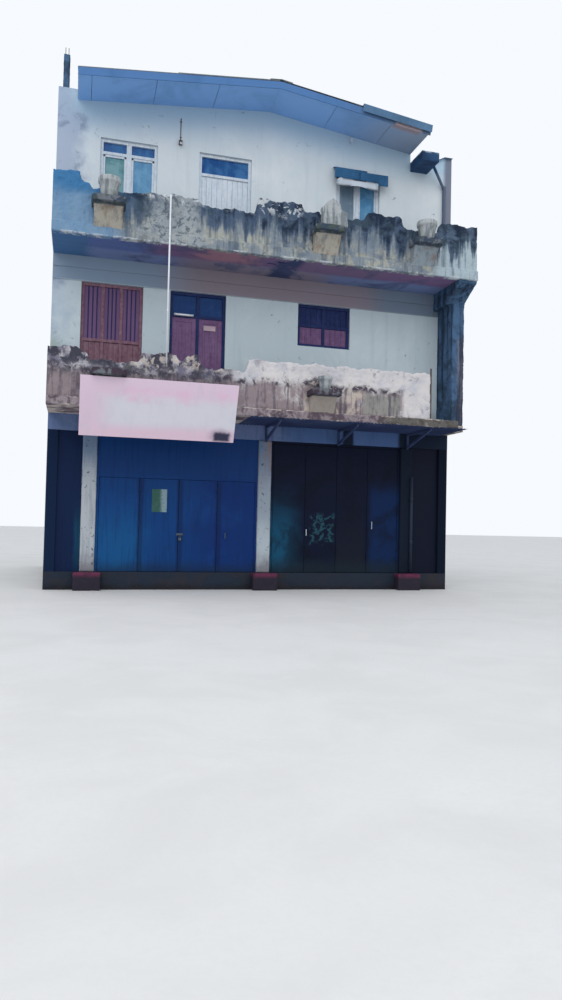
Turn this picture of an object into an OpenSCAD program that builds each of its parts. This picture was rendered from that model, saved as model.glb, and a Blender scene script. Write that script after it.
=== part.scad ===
// Three-storey corner shop house in rendered brick and concrete: shop doors of folding
// steel leaves at street level, two walk-out balconies with crumbling crenellated
// parapets, and a low gable roof whose verge shelters the upper balcony.
// Millimetres, +Z up, street front towards -Y, origin at the bottom centre.

/* [House] */
// Width across the outer faces of the side walls
house_w = 8520; // [8000:10:9400]
// Depth from the front wall to the back wall
house_d = 7600; // [6000:10:8400]
// Thickness of the masonry walls
wall_t = 200; // [150:5:260]
// Height of the shop floor above the ground
plinth_h = 350; // [200:10:600]
// Thickness of each concrete floor
slab_t = 130; // [100:5:180]
// Gap left where a frame is set in a wall
seat_gap = 0.3; // [0.1:0.1:2]

/* [Storeys] */
// Height of the shop doorways above the shop floor
shop_h = 2750; // [2400:10:3000]
// Depth of the beam over the doorways
beam_h = 320; // [250:10:420]
// Height of the first-floor walls
first_h = 2990; // [2600:10:3300]
// Height of the second-floor walls at the ridge
ridge_h = 3400; // [3100:10:3700]

/* [Shop front] */
// Width of the street columns
column_w = 280; // [220:5:360]
// Depth of the street columns
column_d = 300; // [220:5:400]
// Width of the fixed panel beside the left wall
corner_bay_w = 470; // [300:10:700]
// Clear width of the left doorway
left_bay_w = 3260; // [2800:10:3400]
// Width of the fixed panel beside the right wall
right_corner_w = 630; // [400:10:900]
// Height of the fixed panel above the left leaves
header_h = 880; // [500:10:1100]
// How far back the steel leaves stand from the column faces
leaf_inset = 60; // [20:5:120]
// Depth of a steel leaf
leaf_d = 36; // [24:2:60]
// Width of the steel door frame members
door_frame_w = 50; // [30:5:80]
// Gap between neighbouring leaves
leaf_gap = 8; // [4:1:15]
// Number of leaves in the left doorway
left_leaves = 4; // [2:1:6]
// Number of leaves in the right doorway
right_leaves = 4; // [2:1:6]
// How far the painted column bases step out in front
base_out = 240; // [120:10:400]
// How far a column base is wider than its column on each side
base_side = 120; // [40:10:200]

/* [Canopy and sign] */
// How far the canopy reaches from the front wall
canopy_out = 1290; // [1220:10:1400]
// Left end of the canopy, from the middle of the house
canopy_left = -500; // [-1200:10:0]
// How far the canopy stops short of the right end
canopy_short = 190; // [0:10:600]
// Number of overlapping canopy sheets
canopy_sheets = 5; // [3:1:7]
// Pitch of the canopy corrugations
canopy_pitch = 76; // [60:1:120]
// Height of the canopy corrugations
canopy_wave_h = 18; // [10:1:24]
// Width of the sign board
sign_w = 2870; // [2000:10:3200]
// Height of the sign board along its face
sign_h = 1115; // [700:5:1300]
// Thickness of the sign board
sign_t = 26; // [15:1:40]
// Lean of the sign board, its top towards the street
sign_lean = 24; // [10:1:30]
// Distance from the left end of the balcony to the sign board
sign_left = 580; // [300:10:900]
// How far the sign board rises above the underside of the balcony, along its face
sign_rise = 560; // [300:5:700]

/* [Balconies] */
// How far the balconies reach out from the front wall
balcony_out = 1200; // [900:10:1400]
// Thickness of the parapets
parapet_t = 120; // [90:5:160]
// How far the first balcony stops short of the right end
first_short = 400; // [0:10:800]
// Height of the low stretches of the upper parapet
upper_low = 780; // [600:10:850]
// Height of the upper merlons
upper_high = 1030; // [900:10:1150]
// Height of the low stretches of the first parapet
first_low = 750; // [600:10:800]
// Height of the first merlons and of the rendered stretch
first_high = 980; // [850:10:1100]
// Width of the broken edge where a parapet steps up or down
broken_edge = 70; // [40:10:200]
// Depth of the crumbling of the parapet tops
wear_depth = 60; // [0:5:120]
// How far the slab edge band stands out from the parapet
band_out = 28; // [10:1:50]
// Width of the gap in the first parapet beside the right pier
open_end = 620; // [0:10:900]
// How far the flower ledges stand out from the parapet
ledge_out = 420; // [280:10:480]
// Length of the flower ledges
ledge_w = 610; // [480:10:700]
// Radius of the front corners of the flower ledges
ledge_corner = 120; // [40:5:140]
// Thickness of a flower ledge
ledge_t = 110; // [60:5:140]

/* [Windows and doors] */
// Width of the first-floor screen
screen_w = 1200; // [900:10:1300]
// Distance from the left end to the screen
screen_x = 550; // [450:10:700]
// Height of the heads of the first-floor openings above the floor
first_head = 2500; // [2200:10:2600]
// Width of the first-floor door
first_door_w = 1150; // [900:10:1300]
// Distance from the left end to the first-floor door
first_door_x = 2290; // [2150:10:2500]
// Width of the first-floor window
first_window_w = 1170; // [900:10:1400]
// Distance from the left end to the first-floor window
first_window_x = 4990; // [4600:10:5600]
// Sill of the first-floor window above the floor
first_sill = 1600; // [1300:10:1700]
// How far the lintel band stands out over the first-floor openings
lintel_out = 24; // [10:2:40]
// Height of the heads of all second-floor openings above the floor
upper_head = 2300; // [2100:10:2500]
// Sill of the second-floor windows above the floor
upper_sill = 1100; // [900:10:1300]
// Width of the left second-floor window
upper_left_w = 1130; // [900:10:1300]
// Distance from the left end to the left second-floor window
upper_left_x = 830; // [700:10:1000]
// Width of the second-floor door
upper_door_w = 1100; // [900:10:1200]
// Distance from the left end to the second-floor door
upper_door_x = 2810; // [2600:10:3000]
// Width of the right second-floor window
upper_right_w = 1000; // [800:10:1200]
// Distance from the left end to the right second-floor window
upper_right_x = 5790; // [5500:10:6200]
// Width of the frame members of windows and doors
frame_w = 60; // [40:5:90]
// Depth of the frames of windows and doors
frame_d = 90; // [60:5:120]
// How far the frames stand back from the wall face
frame_inset = 50; // [0:5:80]
// Thickness of panes and boards in the frames
pane_t = 24; // [10:2:40]
// Height of the transom lights
transom_h = 400; // [250:10:500]
// Width of the plain windows on the hidden sides
plain_window_w = 1000; // [700:10:1200]
// Height of the plain windows on the hidden sides
plain_window_h = 1100; // [800:10:1300]
// Sill of the plain windows above their floor
plain_sill = 1000; // [800:10:1200]
// Width of the back door
back_door_w = 950; // [800:10:1100]
// Height of the back door
back_door_h = 2100; // [1900:10:2300]

/* [Roof] */
// Slope of the left half of the roof in degrees
left_slope = 6.1; // [3:0.1:10]
// Slope of the right half of the roof in degrees
right_slope = 7.4; // [3:0.1:10]
// How far the roof reaches out over the street front
verge_out = 1000; // [600:10:1150]
// How far the roof reaches out over the back wall
back_verge_out = 300; // [150:10:500]
// Distance from the left end of the house to the edge of the sheets
left_inset = 370; // [300:10:500]
// Distance from the right end of the house to the edge of the sheets
right_inset = 1010; // [700:10:1100]
// Height of the roof purlins
purlin_h = 60; // [50:5:100]
// Width of the roof purlins
purlin_w = 50; // [40:5:80]
// Number of purlins on each slope
purlins = 6; // [4:1:9]
// Pitch of the roof corrugations
sheet_pitch = 146; // [130:1:180]
// Height of the roof corrugations
sheet_wave_h = 38; // [20:1:50]
// Thickness of the roof sheets
sheet_t = 7; // [5:1:10]
// Thickness of the verge boards and soffit panels
board_t = 16; // [10:1:25]
// Height of the verge boards
verge_board_h = 140; // [90:5:180]
// Depth of the box gutters
gutter_h = 200; // [120:5:260]
// Thickness of the gutter metal
gutter_t = 4; // [2:1:8]
// Width of the right gutter
gutter_w = 400; // [250:10:450]
// How far the right gutter hangs below the edge of the sheets
gutter_drop = 200; // [80:5:260]
// Length of the extra flashing sheet on the right slope
flashing_l = 1550; // [1000:10:2200]
// Height of the left end wall above the roof at its edge
end_wall_up = 200; // [100:10:400]
// Height of the concrete stub on the left pier
stub_h = 690; // [400:10:900]
// Width of the concrete stub
stub_w = 120; // [90:5:160]
// Length of the bare steel rods above the stub
rod_h = 160; // [60:10:300]

/* [Pier and fittings] */
// Width of the pier at the right end of the first floor
pier_w = 280; // [220:5:340]
// How far the right pier stands out from the wall
pier_out = 690; // [400:10:800]
// Height of the corbel on top of the right pier
corbel_h = 370; // [250:10:600]
// How far the corbel is wider than the pier, on its left
corbel_side = 130; // [0:10:200]
// Outer diameter of the front pipe
pipe_d = 32; // [20:1:50]
// Distance from the left end to the front pipe
pipe_x = 2110; // [1900:10:2200]
// Length of the pipe beside the right street column
street_pipe_l = 2100; // [1500:10:2500]

/* [Hidden] */

// Shared edges and levels
left_x = -house_w/2;
right_x = house_w/2;
inner_left_x = left_x + wall_t;
inner_right_x = right_x - wall_t;
shop_z = plinth_h;
beam_z = shop_z + shop_h;
first_slab_z = beam_z + beam_h;
first_z = first_slab_z + slab_t;
second_slab_z = first_z + first_h;
second_z = second_slab_z + slab_t;
ridge_z = second_z + ridge_h;
back_y = house_d;
inner_back_y = house_d - wall_t;

// Columns of the shop front, by their left faces
column_1_x = inner_left_x + corner_bay_w;
column_2_x = column_1_x + column_w + left_bay_w;
column_3_x = inner_right_x - right_corner_w - column_w;
right_bay_w = column_3_x - column_2_x - column_w;
columns_x = [column_1_x, column_2_x, column_3_x];

// Balconies. Each step of a parapet is where it starts, from the left end, and its
// share of the height between the low and the high stretches
first_right_x = right_x - first_short;
upper_steps = [[0, 1.05], [440, 0.4], [610, 0], [1640, 0.25], [2620, -0.25], [3740, 0.9],
    [4680, 0.4], [5040, 0.1], [5720, 0.4], [6000, 0.95], [6780, 0.1], [7600, 0.95]];
first_steps = [[0, 0.9], [540, 0.6], [670, 0], [1610, 0.9], [2280, 0.5], [2440, 0.95],
    [2720, 0], [3630, 1]];
crest_step = 45;

// Roof: underside of the purlins at a distance x from the ridge
left_eave = house_w/2 - left_inset;
right_eave = house_w/2 - right_inset;
function slope_of(side) = side < 0 ? left_slope : right_slope;
function roof_z(side, run) = ridge_z - run*tan(slope_of(side));
gutter_z = roof_z(1, right_eave) - gutter_drop - gutter_h;
gutter_out_x = right_eave + gutter_w + 2*seat_gap;
roof_front_y = -verge_out;
roof_back_y = back_y + back_verge_out;
roof_l = roof_back_y - roof_front_y;

// Sign board: the lower front corner of its back face touches the slab edge band
sign_x = left_x + sign_left;
sign_front = balcony_out + band_out + seat_gap + sign_rise*sin(sign_lean) + sign_t*cos(sign_lean);

// The origin is at the middle of the overall depth
front_reach = max(balcony_out + seat_gap + ledge_out, sign_front, canopy_out);
origin_y = -(roof_back_y - front_reach)/2;
module at_origin() translate([0, origin_y, 0]) children();

module box(x, y, z) translate([x[0], y[0], z[0]]) cube([x[1] - x[0], y[1] - y[0], z[1] - z[0]]);

// An outline in the plane of the front, drawn out from y to y + depth
module front_plate(y, depth) translate([0, y + depth, 0]) rotate([90, 0, 0])
    linear_extrude(depth) children();
module hole(x, z, w, h) translate([x, z]) square([w, h]);

// Frame of a door or window in its hole, with mullions, an optional transom and panes
module joinery(w, h, mullions, transom) {
    clear_w = w - 2*seat_gap;
    clear_h = h - 2*seat_gap;
    bay = (clear_w - frame_w)/(mullions + 1);
    translate([seat_gap, frame_inset, seat_gap]) {
        difference() {
            cube([clear_w, frame_d, clear_h]);
            translate([frame_w, -1, frame_w])
                cube([clear_w - 2*frame_w, frame_d + 2, clear_h - 2*frame_w]);
        }
        translate([frame_w/2, frame_d/2, frame_w/2])
            cube([clear_w - frame_w, pane_t, clear_h - frame_w]);
        for (i = [1:1:mullions]) translate([i*bay, 0, frame_w/2])
            cube([frame_w, frame_d, clear_h - frame_w]);
        if (transom > 0) translate([frame_w/2, 0, clear_h - transom])
            cube([clear_w - frame_w, frame_d, frame_w]);
    }
}

// What stands on the panes of a joinery, over the stretch x, z: raised panels, upright
// bars, or boards with grooves between them
panel_margin = 55;
panel_out = 12;
module on_panes(x, z) translate([x, frame_inset + frame_d/2, z]) children();
module raised_panels(w, h, columns, rows) for (i = [0:columns - 1], j = [0:rows - 1], step = [1, 2]) {
    side = panel_margin + (step - 1)*panel_out;
    translate([i*w/columns + side, -step*panel_out/2, j*h/rows + side])
        cube([w/columns - 2*side, step*panel_out/2 + 1, h/rows - 2*side]);
}
module bars(w, h, count) for (i = [1:count])
    translate([i*w/(count + 1) - panel_out/2, -2*panel_out, 0]) cube([panel_out, 2*panel_out + 1, h]);
board_gap = 6;
module boards(w, h, count) for (i = [0:count - 1])
    translate([i*w/count + board_gap/2, -panel_out, 0]) cube([w/count - board_gap, panel_out + 1, h]);

module plinth() color("#5d4f4c") at_origin() {
    box([left_x, right_x], [0, back_y], [0, plinth_h]);
}

module column_bases() color("#6e2b35") at_origin() {
    for (x = columns_x) box([x - base_side, x + column_w + base_side],
        [-base_out, -seat_gap], [0, plinth_h]);
}

module ground_columns() color("#b9b4bb") at_origin() {
    for (x = columns_x) box([x, x + column_w], [0, column_d], [shop_z, beam_z]);
}

module ground_beam() color("#5a6a8c") at_origin() {
    box([left_x, right_x], [0, column_d], [beam_z, first_slab_z]);
}

module ground_side_walls() color("#a7a4a8") at_origin() {
    for (x = [left_x, inner_right_x]) {
        box([x, x + wall_t], [0, back_y], [shop_z, beam_z]);
        box([x, x + wall_t], [column_d, back_y], [beam_z - 1, first_slab_z]);
    }
}

back_door_x = 900;
module ground_back_wall() color("#a7a4a8") at_origin() {
    front_plate(inner_back_y, wall_t) difference() {
        translate([inner_left_x, shop_z]) square([inner_right_x - inner_left_x, shop_h + beam_h]);
        hole(back_door_x, shop_z, back_door_w, back_door_h);
        hole(-back_door_x - plain_window_w, shop_z + plain_sill, plain_window_w, plain_window_h);
    }
}

module back_door() color("#4a5866") at_origin() {
    translate([back_door_x + back_door_w, back_y, shop_z]) rotate([0, 0, 180])
        joinery(back_door_w, back_door_h, 0, 0);
}

module corner_panels() color("#1d3263") at_origin() {
    box([inner_left_x, column_1_x], [leaf_inset, leaf_inset + leaf_d], [shop_z, beam_z]);
    box([column_3_x + column_w, inner_right_x], [leaf_inset, leaf_inset + leaf_d], [shop_z, beam_z]);
}

// Leaves stand at even steps between the jambs, with leaf_gap on both sides of each
function leaf_step(w, count) = (w - 2*door_frame_w - leaf_gap)/count;
function gap_x(w, count, i) = door_frame_w + leaf_gap/2 + i*leaf_step(w, count);
function leaf_h(header) = shop_h - max(header, door_frame_w) - 2*leaf_gap;

// Butt hinge in front of a gap: the left half carries the barrel, the right half is
// a flap that stops short of it
hinge_r = 9;
hinge_h = 120;
hinge_flap = 45;
hinge_t = 3;
hinge_levels = [0.12, 0.5, 0.88];
module hinge_left(x, z) translate([x, leaf_inset, z - hinge_h/2]) {
    translate([0, -hinge_r, 0]) cylinder(r = hinge_r, h = hinge_h, $fn = 24);
    translate([-hinge_flap, -hinge_t, 0]) cube([hinge_flap, hinge_t + 1, hinge_h]);
}
module hinge_right(x, z) {
    start = sqrt(hinge_r^2 - (hinge_r - hinge_t)^2) + seat_gap;
    translate([x + start, leaf_inset - hinge_t, z - hinge_h/2])
        cube([hinge_flap - start, hinge_t + 1, hinge_h]);
}

// Steel door frame; the header panel over the leaves is fixed
module shutter_frame(x, w, header, count) {
    y = [leaf_inset, leaf_inset + leaf_d];
    box([x, x + door_frame_w], y, [shop_z, beam_z]);
    box([x + w - door_frame_w, x + w], y, [shop_z, beam_z]);
    box([x, x + w], y, [beam_z - max(header, door_frame_w), beam_z]);
    for (level = hinge_levels) {
        z = shop_z + leaf_gap + level*leaf_h(header);
        hinge_left(x + gap_x(w, count, 0), z);
        hinge_right(x + gap_x(w, count, count), z);
    }
}

// Folding leaf: a flat steel skin on a frame of square tube
leaf_skin = 4;
leaf_tube = 40;
module leaf(w, h) {
    cube([w, leaf_skin, h]);
    difference() {
        cube([w, leaf_d, h]);
        translate([leaf_tube, -1, leaf_tube]) cube([w - 2*leaf_tube, leaf_d + 2, h - 2*leaf_tube]);
    }
    for (z = [h/3, 2*h/3]) translate([0, 0, z - leaf_tube/2]) cube([w, leaf_d, leaf_tube]);
}

// The leaves hang in two folding sets that meet at the middle gap
module shutter_leaves(x, w, header, count) for (i = [0:count - 1]) {
    meet = floor(count/2);
    translate([x + gap_x(w, count, i) + leaf_gap/2, leaf_inset, shop_z + leaf_gap])
        leaf(leaf_step(w, count) - leaf_gap, leaf_h(header));
    for (level = hinge_levels) {
        z = shop_z + leaf_gap + level*leaf_h(header);
        if (i + 1 != meet) hinge_left(x + gap_x(w, count, i + 1), z);
        if (i != meet) hinge_right(x + gap_x(w, count, i), z);
    }
}

module left_shutter_frame() color("#16378c") at_origin()
    shutter_frame(column_1_x + column_w, left_bay_w, header_h, left_leaves);
module left_shutter_leaves() color("#174a9c") at_origin()
    shutter_leaves(column_1_x + column_w, left_bay_w, header_h, left_leaves);
module right_shutter_frame() color("#10234c") at_origin()
    shutter_frame(column_2_x + column_w, right_bay_w, 0, right_leaves);
module right_shutter_leaves() color("#122a55") at_origin()
    shutter_leaves(column_2_x + column_w, right_bay_w, 0, right_leaves);

// Corrugated sheet: waves along x, drawn out along y from 0 to depth
wave_steps = 4;
function wave(u, pitch, height) = height/2*cos(360*u/pitch);
module corrugated(length, depth, pitch, height, t) {
    du = pitch/wave_steps;
    count = floor(length/du);
    top = [for (i = [0:count]) [i*du, wave(i*du, pitch, height) + t/2]];
    bottom = [for (i = [count:-1:0]) [i*du, wave(i*du, pitch, height) - t/2]];
    translate([0, depth, 0]) rotate([90, 0, 0]) linear_extrude(depth) polygon(concat(top, bottom));
}

canopy_t = 3;
canopy_bar = 40;
canopy_lap = 2*canopy_pitch;
canopy_z = first_slab_z - canopy_wave_h/2 - 1.5*canopy_t - 2*seat_gap;
bracket_top_z = canopy_z - canopy_wave_h/2 - canopy_t/2 - seat_gap;
bracket_drop = 330;
bracket_reach = 1160;
brackets_x = [column_2_x + column_w/2, column_2_x + column_w + right_bay_w/2, column_3_x + column_w/2];
// Every second sheet laps over its neighbours, and their cut ends don't line up
function canopy_cut(i) = 26*(1 + sin(i*140));
module canopy_sheet() color("#27304d") at_origin() {
    step = ceil((right_x - canopy_short - canopy_left)/canopy_sheets/canopy_pitch)*canopy_pitch;
    for (i = [0:canopy_sheets - 1]) {
        start = canopy_left + i*step;
        end = min(start + step + canopy_lap, right_x - canopy_short);
        translate([start, canopy_cut(i) - canopy_out, canopy_z + (i % 2)*(canopy_t + seat_gap)])
            corrugated(end - start, canopy_out - canopy_cut(i), canopy_pitch, canopy_wave_h, canopy_t);
    }
}

module canopy_brackets() color("#1c2338") at_origin()
    for (x = brackets_x) translate([x + canopy_bar/2, 0, 0]) rotate([90, 0, -90])
        linear_extrude(canopy_bar) difference() {
            polygon([[0, bracket_top_z], [bracket_reach, bracket_top_z],
                [bracket_reach, bracket_top_z - canopy_bar], [0, bracket_top_z - bracket_drop]]);
            polygon([[canopy_bar, bracket_top_z - canopy_bar],
                [bracket_reach - 4*canopy_bar, bracket_top_z - canopy_bar],
                [canopy_bar, bracket_top_z - bracket_drop + 1.6*canopy_bar]]);
        }

// The sign board leans about the line where it touches the slab edge band
module on_sign_plane() translate([sign_x, -balcony_out - band_out - seat_gap, first_slab_z])
    rotate([sign_lean, 0, 0]) children();
module sign_board() color("#dcc6cf") at_origin() on_sign_plane()
    translate([0, -sign_t, sign_rise - sign_h]) cube([sign_w, sign_t, sign_h]);

strap_w = 40;
strap_t = 6;
strap_rise = 360;
straps_u = [0.05, 0.45, 0.85];
strap_z = first_z + strap_rise;
module sign_brackets() color("#5b5b60") at_origin()
    for (u = straps_u) {
        rise = strap_z - strap_t - first_slab_z;
        reach = rise*tan(sign_lean) + band_out - seat_gap;
        translate([sign_x + u*sign_w, -balcony_out - seat_gap, strap_z]) rotate([90, 0, 90])
            linear_extrude(strap_w) polygon([[0, -strap_t], [0, strap_t],
                [-reach - 2*strap_t*tan(sign_lean), strap_t], [-reach, -strap_t]]);
    }

// Floor slab with a cantilevered balcony and a rough band along its street edge
module floor_slab(z, right_end) {
    box([left_x, right_x], [0, back_y], [z, z + slab_t]);
    box([left_x, right_end], [-balcony_out, 1], [z, z + slab_t]);
    box([left_x, right_end], [-balcony_out - band_out, 1 - balcony_out], [z, z + slab_t]);
}
module first_floor_slab() color("#9c8288") at_origin() {
    floor_slab(first_slab_z, first_right_x);
    box([first_right_x - 1, right_x], [-pier_out, 1], [first_slab_z, first_z]);
}
module second_floor_slab() color("#8d7d84") at_origin() floor_slab(second_slab_z, right_x);

// Crumbling parapet top: broken steps up and down, less a wandering depth of wear
function ramp(t) = t <= 0 ? 0 : t >= 1 ? 1 : t*t*(3 - 2*t);
function sum(list, i = 0) = i < len(list) ? list[i] + sum(list, i + 1) : 0;
function share(x, steps) = sum([for (i = [0:len(steps) - 1])
    (steps[i][1] - (i > 0 ? steps[i - 1][1] : 0))*(i > 0 ? ramp((x - steps[i][0])/broken_edge) : 1)]);
function wear(x) = wear_depth*(0.5 + 0.3*sin(x*0.62 + 25) + 0.2*sin(x*2.14));
function crest(x, low, high, steps) = low - wear(x) + (high - low)*share(x, steps);
module parapet(z, right_end, low, high, steps, returns_x) {
    l = right_end - left_x;
    front_plate(-balcony_out, parapet_t) translate([left_x, z]) polygon(concat([[0, 0]],
        [for (x = [0:crest_step:l - 1]) [x, crest(x, low, high, steps)]],
        [[l, crest(l, low, high, steps)], [l, 0]]));
    for (x = returns_x)
        box([x, x + parapet_t], [parapet_t - 1 - balcony_out, -seat_gap], [z, z + high - wear_depth]);
}
module first_parapet() color("#b7acae") at_origin()
    parapet(first_z, first_right_x - open_end, first_low, first_high, first_steps, [left_x]);
module upper_parapet() color("#8e8a8c") at_origin()
    parapet(second_z, right_x, upper_low, upper_high, upper_steps, [left_x, right_x - parapet_t]);

// Flower ledge with rounded front corners on a tapered support that stands on the slab
// edge. Each ledge is its distance from the left end, its floor and its height above it
support_side = 50;
ledges = [[680, second_z, 480], [4860, second_z, 480], [6950, second_z, 480],
    [770, first_z, 510], [4850, first_z, 420]];
module ledge(rise) {
    r = min(ledge_corner, ledge_out/2);
    translate([0, 0, rise - ledge_t]) mirror([0, 1, 0]) linear_extrude(ledge_t) {
        square([ledge_w, ledge_out - r]);
        translate([r, 0]) square([ledge_w - 2*r, ledge_out]);
        for (x = [r, ledge_w - r]) translate([x, ledge_out - r]) circle(r = r, $fn = 48);
    }
    translate([support_side, 0, 0]) rotate([90, 0, 90]) linear_extrude(ledge_w - 2*support_side)
        polygon([[0, rise - ledge_t + 1], [-ledge_out*0.6, rise - ledge_t + 1],
            [-band_out, seat_gap], [0, seat_gap]]);
}
module on_parapet(i, z) translate([left_x + ledges[i][0], -balcony_out - seat_gap, ledges[i][1] + z])
    children();
module parapet_ledges() color("#8f8b86") at_origin()
    for (i = [0:len(ledges) - 1]) on_parapet(i, 0) ledge(ledges[i][2]);

// Cast pots, lathe profiles standing on their ledges, and a broken block of masonry.
// Each pot is its ledge, its radius and its height
pots = [[0, 200, 370], [2, 205, 380], [4, 145, 260]];
pot_wall = 30;
pot_lip = 18;
module pot(r, h) rotate_extrude($fn = 40) polygon([[0, 0], [r*0.68, 0], [r - pot_lip, h*0.78],
    [r, h*0.78], [r, h], [r - pot_wall, h], [r - pot_wall, h - pot_wall], [0, h - pot_wall]]);
block_w = 520;
block_d = 150;
block_x = 130;
module broken_block() rotate([90, 0, 0]) linear_extrude(block_d) polygon(block_w*[[0, 0], [1, 0],
    [0.96, 0.52], [0.72, 0.66], [0.68, 0.84], [0.42, 1.02], [0.3, 0.96], [0, 0.66]]);
module on_ledge(i, x) on_parapet(i, ledges[i][2] + seat_gap) translate([x, -ledge_out/2, 0]) children();
module ledge_pots() color("#aaa39a") at_origin() {
    for (p = pots) on_ledge(p[0], ledge_w/2) pot(p[1], p[2]);
    on_ledge(1, block_x) broken_block();
}

// Front wall of the first floor, with a lintel band in two steps over its openings
lintel_h = first_h - first_head;
module first_front_wall() color("#c9cad2") at_origin() {
    front_plate(0, wall_t) difference() {
        translate([left_x, first_z]) square([house_w - pier_w, first_h]);
        hole(left_x + screen_x, first_z, screen_w, first_head);
        hole(left_x + first_door_x, first_z, first_door_w, first_head);
        hole(left_x + first_window_x, first_z + first_sill, first_window_w, first_head - first_sill);
    }
    for (k = [1, 2]) box([left_x, right_x - pier_w - corbel_side - seat_gap], [-k*lintel_out, 1],
        [second_slab_z - lintel_h/k, second_slab_z]);
}

// Side wall pierced by two plain windows when pierced is true
side_windows_y = [1700, 5000];
module side_wall(x, z, h, pierced) difference() {
    sill = z + plain_sill;
    box([x, x + wall_t], [wall_t, back_y], [z, z + h]);
    if (pierced) for (y = side_windows_y)
        box([x - 1, x + wall_t + 1], [y, y + plain_window_w], [sill, sill + plain_window_h]);
}
module first_side_walls() color("#b9b6b8") at_origin() {
    side_wall(left_x, first_z, first_h, true);
    side_wall(inner_right_x, first_z, first_h, false);
}

back_windows_x = [-2600, 1600];
module back_holes(z) for (x = back_windows_x) hole(x, z + plain_sill, plain_window_w, plain_window_h);
module first_back_wall() color("#b9b6b8") at_origin() front_plate(inner_back_y, wall_t) difference() {
    translate([inner_left_x, first_z]) square([inner_right_x - inner_left_x, first_h]);
    back_holes(first_z);
}

grille_h = 1150;
module first_screen() color("#6b3b36") at_origin() translate([left_x + screen_x, 0, first_z]) {
    joinery(screen_w, first_head, 2, grille_h);
    inside = screen_w - 2*frame_w;
    on_panes(frame_w, frame_w) boards(inside, first_head - grille_h - frame_w, 9);
    on_panes(frame_w, first_head - grille_h) bars(inside, grille_h - frame_w, 14);
}
module first_door() color("#5b1f2c") at_origin() translate([left_x + first_door_x, 0, first_z]) {
    joinery(first_door_w, first_head, 1, transom_h);
    on_panes(frame_w, frame_w)
        raised_panels(first_door_w - 2*frame_w, first_head - transom_h - frame_w, 2, 3);
}
module first_window() color("#5d2330") at_origin()
    translate([left_x + first_window_x, 0, first_z + first_sill]) {
        h = first_head - first_sill;
        joinery(first_window_w, h, 1, 0);
        on_panes(frame_w, frame_w) raised_panels(first_window_w - 2*frame_w, h - 2*frame_w, 2, 2);
    }

// Right-hand pier, a fin that carries the end of the upper balcony on its corbel
module right_pier() color("#55575c") at_origin() {
    box([right_x - pier_w, right_x], [-pier_out, wall_t - seat_gap], [first_z, second_slab_z]);
    translate([right_x - pier_w - corbel_side, 0, second_slab_z]) rotate([90, 0, 90])
        linear_extrude(pier_w + corbel_side) polygon([[-seat_gap, 0], [-balcony_out, 0],
            [-balcony_out, -corbel_h*0.15], [-pier_out - (balcony_out - pier_out)*0.5, -corbel_h*0.55],
            [-pier_out, -corbel_h], [-seat_gap, -corbel_h]]);
}

// Gable walls follow the two slopes; the left end stands up as a pier beside the roof
tray_rise = 220;
tray_z = gutter_z + gutter_h;
module gable_outline() polygon([[-left_eave, second_z], [right_x, second_z],
    [right_x, tray_z + tray_rise], [inner_right_x, tray_z + tray_rise], [gutter_out_x, tray_z],
    [gutter_out_x, gutter_z], [right_eave, gutter_z], [right_eave, roof_z(1, right_eave)],
    [0, ridge_z], [-left_eave, roof_z(-1, left_eave)]]);
end_wall_z = roof_z(-1, left_eave) + end_wall_up;
module second_front_wall() color("#cfd2da") at_origin() front_plate(0, wall_t) difference() {
    union() {
        gable_outline();
        translate([left_x, second_z]) square([left_inset + 1, end_wall_z - second_z - 1]);
    }
    hole(left_x + upper_left_x, second_z + upper_sill, upper_left_w, upper_head - upper_sill);
    hole(left_x + upper_door_x, second_z, upper_door_w, upper_head);
    hole(left_x + upper_right_x, second_z + upper_sill, upper_right_w, upper_head - upper_sill);
}
module second_side_walls() color("#b9b6b8") at_origin() {
    side_wall(left_x, second_z, end_wall_z - second_z, true);
    side_wall(inner_right_x, second_z, tray_z + tray_rise - second_z, false);
}
module second_back_wall() color("#b9b6b8") at_origin() front_plate(inner_back_y, wall_t) difference() {
    intersection() {
        gable_outline();
        translate([-left_eave, second_z]) square([inner_right_x + left_eave, ridge_h]);
    }
    back_holes(second_z);
}

module upper_left_window() color("#8fa3b8") at_origin()
    translate([left_x + upper_left_x, 0, second_z + upper_sill])
        joinery(upper_left_w, upper_head - upper_sill, 1, 0);
module upper_door() color("#d5d7dc") at_origin() translate([left_x + upper_door_x, 0, second_z]) {
    joinery(upper_door_w, upper_head, 0, transom_h);
    on_panes(frame_w, frame_w) boards(upper_door_w - 2*frame_w, upper_head - transom_h - frame_w, 9);
}
module upper_right_window() color("#8fa3b8") at_origin()
    translate([left_x + upper_right_x, 0, second_z + upper_sill])
        joinery(upper_right_w, upper_head - upper_sill, 1, 0);

// Bent sheets hung over the head of the right window: two ribbed ones that overlap and
// a flat one through them. Each is its left end from the window, its width, the height of
// its top above the head, how far it stands out, and the number of its ribs
blind_t = 6;
blind_rib = 14;
blind_step = 24;
blinds = [[-90, 740, 110, 150, 10], [480, 640, 70, 190, 10], [60, 840, -110, 230, 0]];
function edge(out, ribs, t) = [for (i = [0:ribs]) [t - out + (i % 2)*blind_rib, -out/3 - i*blind_step]];
function backwards(list) = [for (i = [len(list) - 1:-1:0]) list[i]];
module blind(x, w, z, out, ribs) translate([left_x + upper_right_x + x, 0, second_z + upper_head + z])
    rotate([90, 0, 90]) linear_extrude(w) polygon(concat([[-seat_gap, 0]], edge(out, ribs, 0),
        ribs > 0 ? backwards(edge(out, ribs, blind_t)) : [[-out, -out/3 - blind_t]],
        [[-seat_gap, -blind_t]]));
module window_blind() color("#26406e") at_origin()
    for (b = blinds) blind(b[0], b[1], b[2], b[3], b[4]);

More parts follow.
